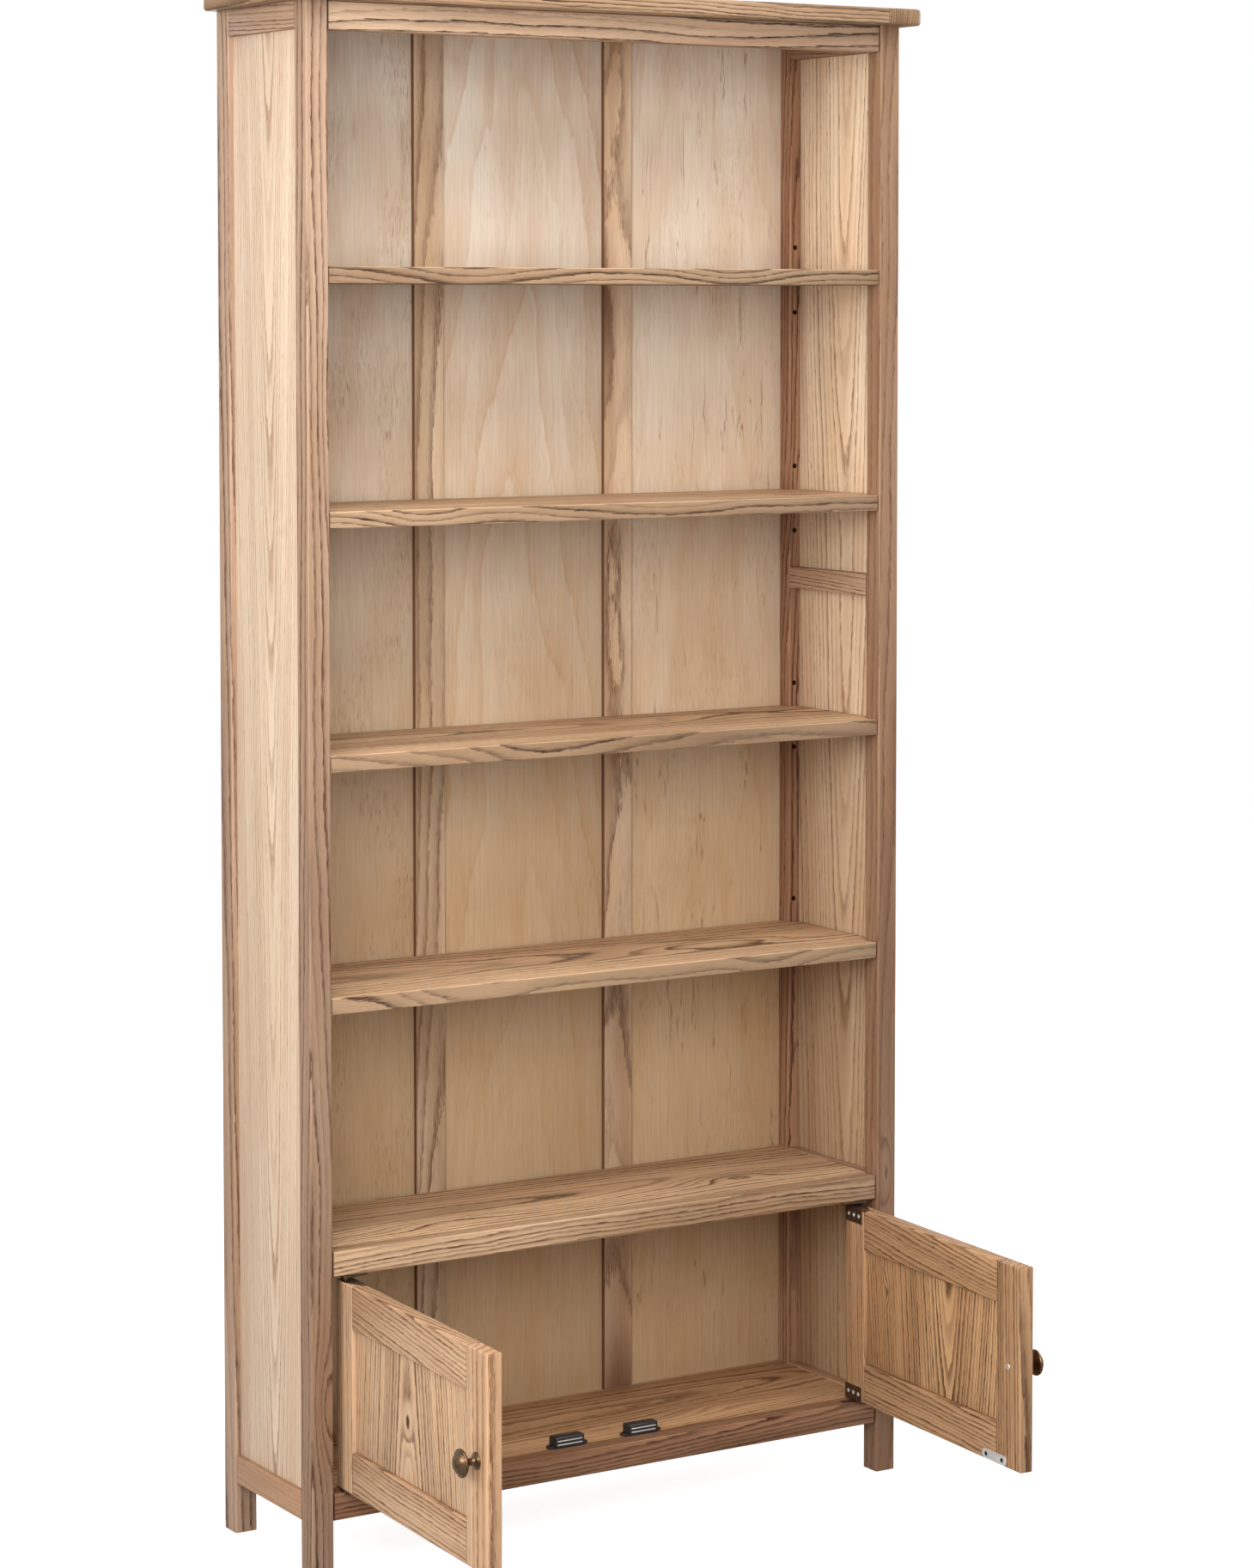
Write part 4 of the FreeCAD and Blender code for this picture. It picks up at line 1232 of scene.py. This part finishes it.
@dataclass
class Shelves:
    """Loose shelves, the fixed shelf, the bottom shelf and the shelf pins."""

    ease: float = 0.6 * MM
    pin_ease: float = 0.3 * MM
    front: float = -0.11

    def cuts(self) -> dict[str, Cut]:
        """How each shelf was sawn.

        Returns:
            The cut of each CAD node.
        """
        ends = (Seam(Grain.X, 0.0, width=2.0 * MM, depth=0.9),)
        front = self.front
        # The shelves' upper faces get painted top light.
        with_painted_top_light = partial(Cut, Grain.X, Grain.Z, wave=0.012, painted_top_light=0.75)
        loose = partial(with_painted_top_light, seams=ends)
        return {
            "shelf_1": loose((-0.10, 0.030), 0.018, 41.0, knots=(
                Knot(-0.20, front, 0.012, 0.05, 0.10), Knot(0.17, front, 0.014, 0.05, 0.09))),
            "shelf_2": loose((-0.03, 0.070), 0.024, 43.7, knots=(
                Knot(-0.28, front, 0.011, 0.04, 0.07), Knot(0.06, front, 0.013, 0.05, 0.12))),
            "shelf_3": loose((0.03, 0.060), 0.024, 46.1, knots=(
                Knot(-0.10, front, 0.013, 0.05, 0.12), Knot(0.28, 0.02, 0.012, 0.04, 0.10))),
            "shelf_4": loose((0.01, 0.070), 0.028, 49.6, wave=0.013, knots=(
                Knot(-0.22, front, 0.010, 0.04, 0.09), Knot(0.20, -0.01, 0.020, 0.030, 0.13),
                Knot(0.24, front, 0.011, 0.03, 0.06))),
            "fixed_shelf": with_painted_top_light((0.00, 0.060), 0.030, 53.3, knots=(
                Knot(0.24, -0.03, 0.022, 0.026, 0.07, 0.2), Knot(-0.20, -0.05, 0.016, 0.022, 0.10))),
            "bottom_shelf": with_painted_top_light((0.02, 0.060), 0.034, 57.9, painted_top_light=0.0, knots=(
                Knot(0.22, -0.04, 0.014, 0.020, 0.08),)),
        }

    def make(self) -> None:
        """Build the shelves and the pins."""
        for node, cut in self.cuts().items():
            timber = Woods.LOW_SHELF if node == "bottom_shelf" else Woods.SHELF
            Board(node, timber, cut, self.ease).make()
        pins = Bench.softened("shelf_pins", self.pin_ease)
        fit(pins, "shelf_pins", Metals.DULL.build("shelf_pin_steel"))


@dataclass
class Screw:
    """A cross-head screw's head and the top of its shank.

    Attributes:
        radius: Radius of the head.
        dome: Height of its dome over the rim.
        depth: Depth of the shank's end under the rim.
    """

    radius: float = 2.65 * MM
    dome: float = 0.45 * MM
    depth: float = 1.8 * MM

    def make(self, name: str) -> Piece:
        """Turn one head and cut its cross, looking up with its rim at the origin.

        Args:
            name: Name of the piece.

        Returns:
            The screw.
        """
        r, h = self.radius, self.dome
        outline = ((0.0, -self.depth), (r * 0.45, -self.depth), (r * 0.5, -1.2 * MM), (r * 0.94, -0.2 * MM),
                   (r, 0.0), (r * 0.92, h * 0.45), (r * 0.6, h * 0.85), (r * 0.25, h), (0.0, h))
        head = Bench.lathe(name, outline, 28)
        bar = Matrix.Diagonal((r * 1.15, r * 0.24, h * 3.0, 1.0))
        for angle in (0.0, math.pi / 2):
            Bench.clear()
            bpy.ops.mesh.primitive_cube_add(size=1.0)
            slot = bpy.context.object
            slot.data.transform(Matrix.Rotation(angle, 4, "Z") @ bar)
            Bench.cut(head, slot)
        return head

    def row(self, name: str, places: list[Matrix], finish: MetalFinish) -> Piece:
        """Copy the screw to many places as one piece.

        Args:
            name: Name of the piece.
            places: Where each screw stands.
            finish: Its metal.

        Returns:
            The joined screws.
        """
        master = self.make(name)
        master.data.materials.append(finish.build(f"{name}_metal"))
        copies = []
        for place in places:
            copy = master.copy()
            copy.data = master.data.copy()
            bpy.context.scene.collection.objects.link(copy)
            Bench.place(copy, place)
            copies.append(copy)
        bpy.data.objects.remove(master, do_unlink=True)
        return Bench.merge(copies, name)


@dataclass
class Fittings:
    """Hinge plates and pins on the case, and the two catches.

    Attributes:
        catch_x: Distance of each catch's middle from the bookcase's middle.
        catch_front: Plane of the catch bodies' fronts.
        screw_back: How far the catch screws lie behind it.
        screw_x: Distance of a catch's screws from its middle.
        screw_z: Height of their heads.
    """

    catch_x: float = 54.5 * MM
    catch_front: float = FRONT_Y + 23.3 * MM
    screw_back: float = 8.0 * MM
    screw_x: float = 25.0 * MM
    screw_z: float = 100.5 * MM

    def make(self) -> None:
        """Build the fittings that stay with the case."""
        for node, ease, finish in (("hinge_frame_plates", 0.3, Metals.IRON),
                                   ("hinge_pins", 0.2, Metals.IRON),
                                   ("catch_bodies", 0.6, Metals.PLASTIC),
                                   ("catch_pole_plates", 0.2, Metals.ZINC)):
            fit(Bench.softened(node, ease * MM), node, finish.build(f"{node}_finish"))
        y = self.catch_front + self.screw_back
        places = [Matrix.Translation((side * self.catch_x + step, y, self.screw_z))
                  for side in (-1, 1) for step in (-self.screw_x, self.screw_x)]
        screws = Screw(2.75 * MM).row("catch_screw_heads", places, Metals.BLACK)
        stand_for(screws, "catch_screws")


class Side(Enum):
    """Which door."""

    LEFT = -1
    RIGHT = 1


@dataclass
class Door:
    """One framed door with its knob, hinge plates, strike plate and screws.

    Attributes:
        side: Which door it is.
        opened: Degrees that it stands open.
        frame_wood: Timber of the rails and the hinge stile.
        stile_wood: Timber of the free stile.
        panel_wood: Timber of the panel.
        pith: Place of the log's middle across the panel.
        knot: The knot in the panel.
        hinge_x: Distance of the pivot from the bookcase's middle.
        hinge_y: Plane of the pivots.
        thick: Thickness of the frame.
        middle_z: Height of the door's middle.
        knob_x: Distance of the knob from the bookcase's middle, door closed.
        leaf_x: The same for the screws of the hinge plates.
        leaf_z: Their heights.
        strike_x: Distance of the strike plate's screws, door closed.
        strike_z: Their height.
        strike_t: Thickness of the strike plate.
        ease: Width of the frame's eased edges.
        panel_ease: Width of the eased edges of panel and plates.
    """

    side: Side
    opened: float
    frame_wood: Timber
    stile_wood: Timber
    panel_wood: Timber
    pith: float
    knot: Knot
    hinge_x: float = 381.5 * MM
    hinge_y: float = FRONT_Y + 4.5 * MM
    thick: float = 20.0 * MM
    middle_z: float = 228.0 * MM
    knob_x: float = 26.5 * MM
    leaf_x: tuple[float, ...] = (391.5 * MM, 379.8 * MM, 368.1 * MM)
    leaf_z: tuple[float, ...] = (110.5 * MM, 345.5 * MM)
    strike_x: tuple[float, ...] = (37.5 * MM, 71.5 * MM)
    strike_z: float = 108.5 * MM
    strike_t: float = 1.8 * MM
    ease: float = 0.5 * MM
    panel_ease: float = 0.3 * MM

    @property
    def word(self) -> str:
        """The door's name in its nodes."""
        return self.side.name.lower()

    @property
    def turn(self) -> float:
        """Degrees that the open door's boards stand turned about the vertical."""
        return self.side.value * (self.opened - 90.0)

    def swing(self) -> Matrix:
        """Take a place on the closed door to the open one.

        Returns:
            The matrix.
        """
        pivot = Matrix.Translation((self.side.value * self.hinge_x, self.hinge_y, 0.0))
        turn = Matrix.Rotation(math.radians(self.side.value * self.opened), 4, "Z")
        return pivot @ turn @ pivot.inverted()

    def spot(self, x: float, depth: float, z: float, outwards: bool) -> Matrix:
        """Place on the open door, with its up axis out of one face.

        Args:
            x: Distance from the bookcase's middle with the door closed.
            depth: Distance behind the closed door's outer face.
            z: Height.
            outwards: Look out of the outer face in place of the inner one.

        Returns:
            The matrix.
        """
        angle = math.radians(90.0 if outwards else -90.0)
        place = Matrix.Translation((self.side.value * x, FRONT_Y + depth, z))
        return self.swing() @ place @ Matrix.Rotation(angle, 4, "X")

    def wood(self) -> None:
        """Build the frame and the panel."""
        seed = 72.0 + 11.0 * self.side.value
        upright = partial(Cut, Grain.Z, Grain.X, turn=self.turn)
        level = partial(Cut, Grain.Y, Grain.X, (0.05, 0.03), 0.060, turn=self.turn, wave=0.012,
                        seams=(Seam(Grain.Y, 24.0 * MM, depth=0.8),))
        for part, timber, cut in (
                ("hinge_stile", self.frame_wood, upright((0.06, 0.02), 0.020, seed, wave=0.005)),
                ("free_stile", self.stile_wood, upright((0.05, 0.03), 0.020, seed + 3, wave=0.005)),
                ("top_rail", self.frame_wood, level(seed + 6)),
                ("bottom_rail", self.frame_wood, level(seed + 9))):
            Board(f"{self.word}_door_{part}", timber, cut, self.ease).make()
        rim = (Seam(Grain.Y, 8.0 * MM, depth=0.8), Seam(Grain.Z, 8.0 * MM, depth=0.8),
               Seam(Grain.Y, 68.0 * MM, 1, 0.5 * MM, 0.6))
        panel = upright((self.pith, 0.024), -0.09 * self.side.value, seed + 12, wave=0.006,
                        knots=(self.knot,), seams=rim)
        Board(f"{self.word}_door_panel", self.panel_wood, panel, self.panel_ease).make()

    def knob(self) -> None:
        """Turn the mushroom knob on its stepped rose."""
        rose = ((0.0, 0.0), (10.0, 0.0), (10.0, 0.9), (9.5, 1.6), (8.4, 1.9), (8.2, 2.5), (7.2, 3.2))
        neck = ((5.6, 4.3), (4.5, 6.0), (4.1, 8.4), (4.3, 10.8), (5.4, 12.9), (8.0, 14.7), (11.8, 16.2))
        rim = ((14.8, 17.5), (16.2, 18.7), (16.5, 20.0), (16.3, 21.0), (15.5, 21.7), (14.6, 21.8))
        cap = ((14.2, 22.2), (13.0, 23.6), (10.8, 25.4), (8.0, 27.1), (4.6, 28.4), (1.6, 28.95), (0.0, 29.0))
        outline = tuple((r * MM, h * MM) for r, h in rose + neck + rim + cap)
        node = f"{self.word}_door_knob"
        piece = Bench.lathe(f"{node}_turned", outline, 56)
        Bench.place(piece, self.spot(self.knob_x, 0.0, self.middle_z, True))
        fit(piece, node, Metals.BRONZE.build(f"{node}_bronze"))

    def metal(self) -> None:
        """Build the plates and every screw."""
        for part, finish, tail in (("hinge_plates", Metals.IRON, "iron"),
                                   ("strike_plate", Metals.ZINC, "zinc")):
            node = f"{self.word}_door_{part}"
            fit(Bench.softened(node, self.panel_ease), node, finish.build(f"{node}_{tail}"))
        leaf = [self.spot(x, self.thick, z, False) for x in self.leaf_x for z in self.leaf_z]
        catch = [self.spot(x, self.thick + self.strike_t, self.strike_z, False) for x in self.strike_x]
        through = [self.spot(self.knob_x, self.thick + 0.6 * MM, self.middle_z, False)]
        heads = [Screw().row(f"{self.word}_hinge_screw_heads", leaf, Metals.STEEL),
                 Screw(2.9 * MM, 0.2 * MM).row(f"{self.word}_strike_screw_heads", catch, Metals.BLACK),
                 Screw(3.9 * MM, 1.1 * MM).row(f"{self.word}_knob_screw_head", through, Metals.STEEL)]
        stand_for(Bench.merge(heads, f"{self.word}_door_screw_heads"), f"{self.word}_door_screws")

    def make(self) -> None:
        """Build the door's wood, then its knob and its other metal."""
        self.wood()
        self.knob()
        self.metal()


# -------------------------------------------------------------- stage and view
@dataclass(frozen=True)
class SoftBox:
    """A rectangular lamp.

    Attributes:
        name: Its name.
        place: Where it stands.
        aim: What it points at.
        size: Width and height.
        power: Watts.
    """

    name: str
    place: Place
    aim: Place
    size: tuple[float, float]
    power: float

    def make(self) -> None:
        """Hang the lamp and point it."""
        data = bpy.data.lights.new(self.name, "AREA")
        data.shape = "RECTANGLE"
        data.size, data.size_y = self.size
        data.energy = self.power
        lamp = bpy.data.objects.new(self.name, data)
        bpy.context.scene.collection.objects.link(lamp)
        lamp.location = self.place
        lamp.rotation_euler = (Vector(self.aim) - Vector(self.place)).to_track_quat("-Z", "Y").to_euler()


@dataclass
class Studio:
    """Floor, lights and camera.

    Attributes:
        floor_z: Height of the floor.
        floor_size: Its side.
        ambient: Strength of the surroundings as a light.
        azimuth: Degrees that the camera is turned about the vertical.
        pitch: Degrees that it looks down.
        lens: Its focal length in millimetres.
        sensor: Width of its sensor in millimetres.
        clip: Nearest and farthest distance that it sees.
        shift: Shift of its lens.
        place: Where it stands.
        lamps: The soft boxes.
    """

    floor_z: float = -0.6 * MM
    floor_size: float = 24.0
    ambient: float = 0.26
    azimuth: float = 31.826
    pitch: float = 3.2
    lens: float = 90.52
    sensor: float = 36.0
    clip: tuple[float, float] = (0.1, 60.0)
    shift: tuple[float, float] = (-0.0011, -0.16265)
    place: Place = (-2.56997, FRONT_Y - 4.16954, 1.52788)
    lamps: tuple[SoftBox, ...] = (
        SoftBox("key", (-1.75, -2.15, 1.8), (0.0, 0.2, 1.35), (2.0, 1.5), 65.0),
        SoftBox("side", (-3.4, -0.7, 1.8), (-0.4, 0.1, 1.05), (1.4, 1.6), 48.0),
        SoftBox("top", (-0.3, -1.2, 3.4), (0.0, 0.1, 0.9), (3.0, 2.0), 54.0),
        SoftBox("right", (3.4, 0.3, 1.8), (0.4, 0.2, 1.0), (1.6, 1.8), 55.0),
        SoftBox("rear", (0.6, 3.4, 1.9), (0.0, 0.3, 1.0), (2.2, 1.8), 75.0),
    )

    def floor(self) -> None:
        """Lay a pale floor that keeps a soft shadow."""
        Bench.clear()
        bpy.ops.mesh.primitive_plane_add(size=self.floor_size, location=(0.0, 0.0, self.floor_z))
        plane = bpy.context.object
        plane.name = "floor"
        g = Graph("pale_floor")
        g.set("Base Color", (0.50, 0.50, 0.50, 1.0))
        g.shader.inputs["Roughness"].default_value = 0.9
        g.shader.inputs["Specular IOR Level"].default_value = 0.1
        path = g.tree.nodes.new("ShaderNodeLightPath")
        g.set("Emission Color", (1.0, 1.0, 1.0, 1.0))
        g.set("Emission Strength", g.math("MULTIPLY", path.outputs["Is Camera Ray"], 0.85))
        plane.data.materials.append(g.material)

    def world(self) -> None:
        """White surroundings for the camera, plain grey light for the rest."""
        world = bpy.data.worlds.new("studio")
        bpy.context.scene.world = world
        world.use_nodes = True
        tree = world.node_tree
        back = tree.nodes["Background"]
        path = tree.nodes.new("ShaderNodeLightPath")
        seen = path.outputs["Is Camera Ray"]
        for name in ("Is Glossy Ray", "Is Transmission Ray"):
            either = tree.nodes.new("ShaderNodeMath")
            either.operation = "MAXIMUM"
            tree.links.new(seen, either.inputs[0])
            tree.links.new(path.outputs[name], either.inputs[1])
            seen = either.outputs[0]
        pick = tree.nodes.new("ShaderNodeMapRange")
        pick.inputs["To Min"].default_value = self.ambient
        pick.inputs["To Max"].default_value = 1.0
        tree.links.new(seen, pick.inputs["Value"])
        tree.links.new(pick.outputs[0], back.inputs["Strength"])
        back.inputs["Color"].default_value = (1.0, 1.0, 1.0, 1.0)

    def camera(self) -> None:
        """Set the camera up."""
        data = bpy.data.cameras.new("view")
        data.sensor_fit = "AUTO"
        data.sensor_width = self.sensor
        data.lens = self.lens
        data.shift_x, data.shift_y = self.shift
        data.clip_start, data.clip_end = self.clip
        camera = bpy.data.objects.new("view", data)
        bpy.context.scene.collection.objects.link(camera)
        camera.location = self.place
        camera.rotation_euler = (math.radians(90.0 - self.pitch), 0.0, math.radians(-self.azimuth))
        bpy.context.scene.camera = camera

    def make(self) -> None:
        """Set the stage, the lights and the view."""
        self.floor()
        self.world()
        for lamp in self.lamps:
            lamp.make()
        self.camera()
        bpy.context.scene.view_settings.view_transform = "Standard"


def main() -> None:
    """Dress the bookcase piece by piece."""
    logging.basicConfig(level=logging.INFO, format="%(name)s: %(message)s")
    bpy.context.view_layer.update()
    for part in (TopBoards(), CaseFrame(), Panels(), Shelves(), Fittings(),
                 Door(Side.LEFT, 92.5, Woods.HONEY, Woods.HONEY_STILE, Woods.HONEY_PANEL, 0.010,
                      Knot(-0.005, 0.012, 0.012, 0.011, 0.024, 0.5)),
                 Door(Side.RIGHT, 87.5, Woods.TAN, Woods.TAN, Woods.TAN_PANEL, -0.035,
                      Knot(0.030, 0.105, 0.008, 0.008, 0.014, 0.6)),
                 Studio()):
        LOG.info("building %s", type(part).__name__)
        part.make()


if __name__ == "__main__":
    main()
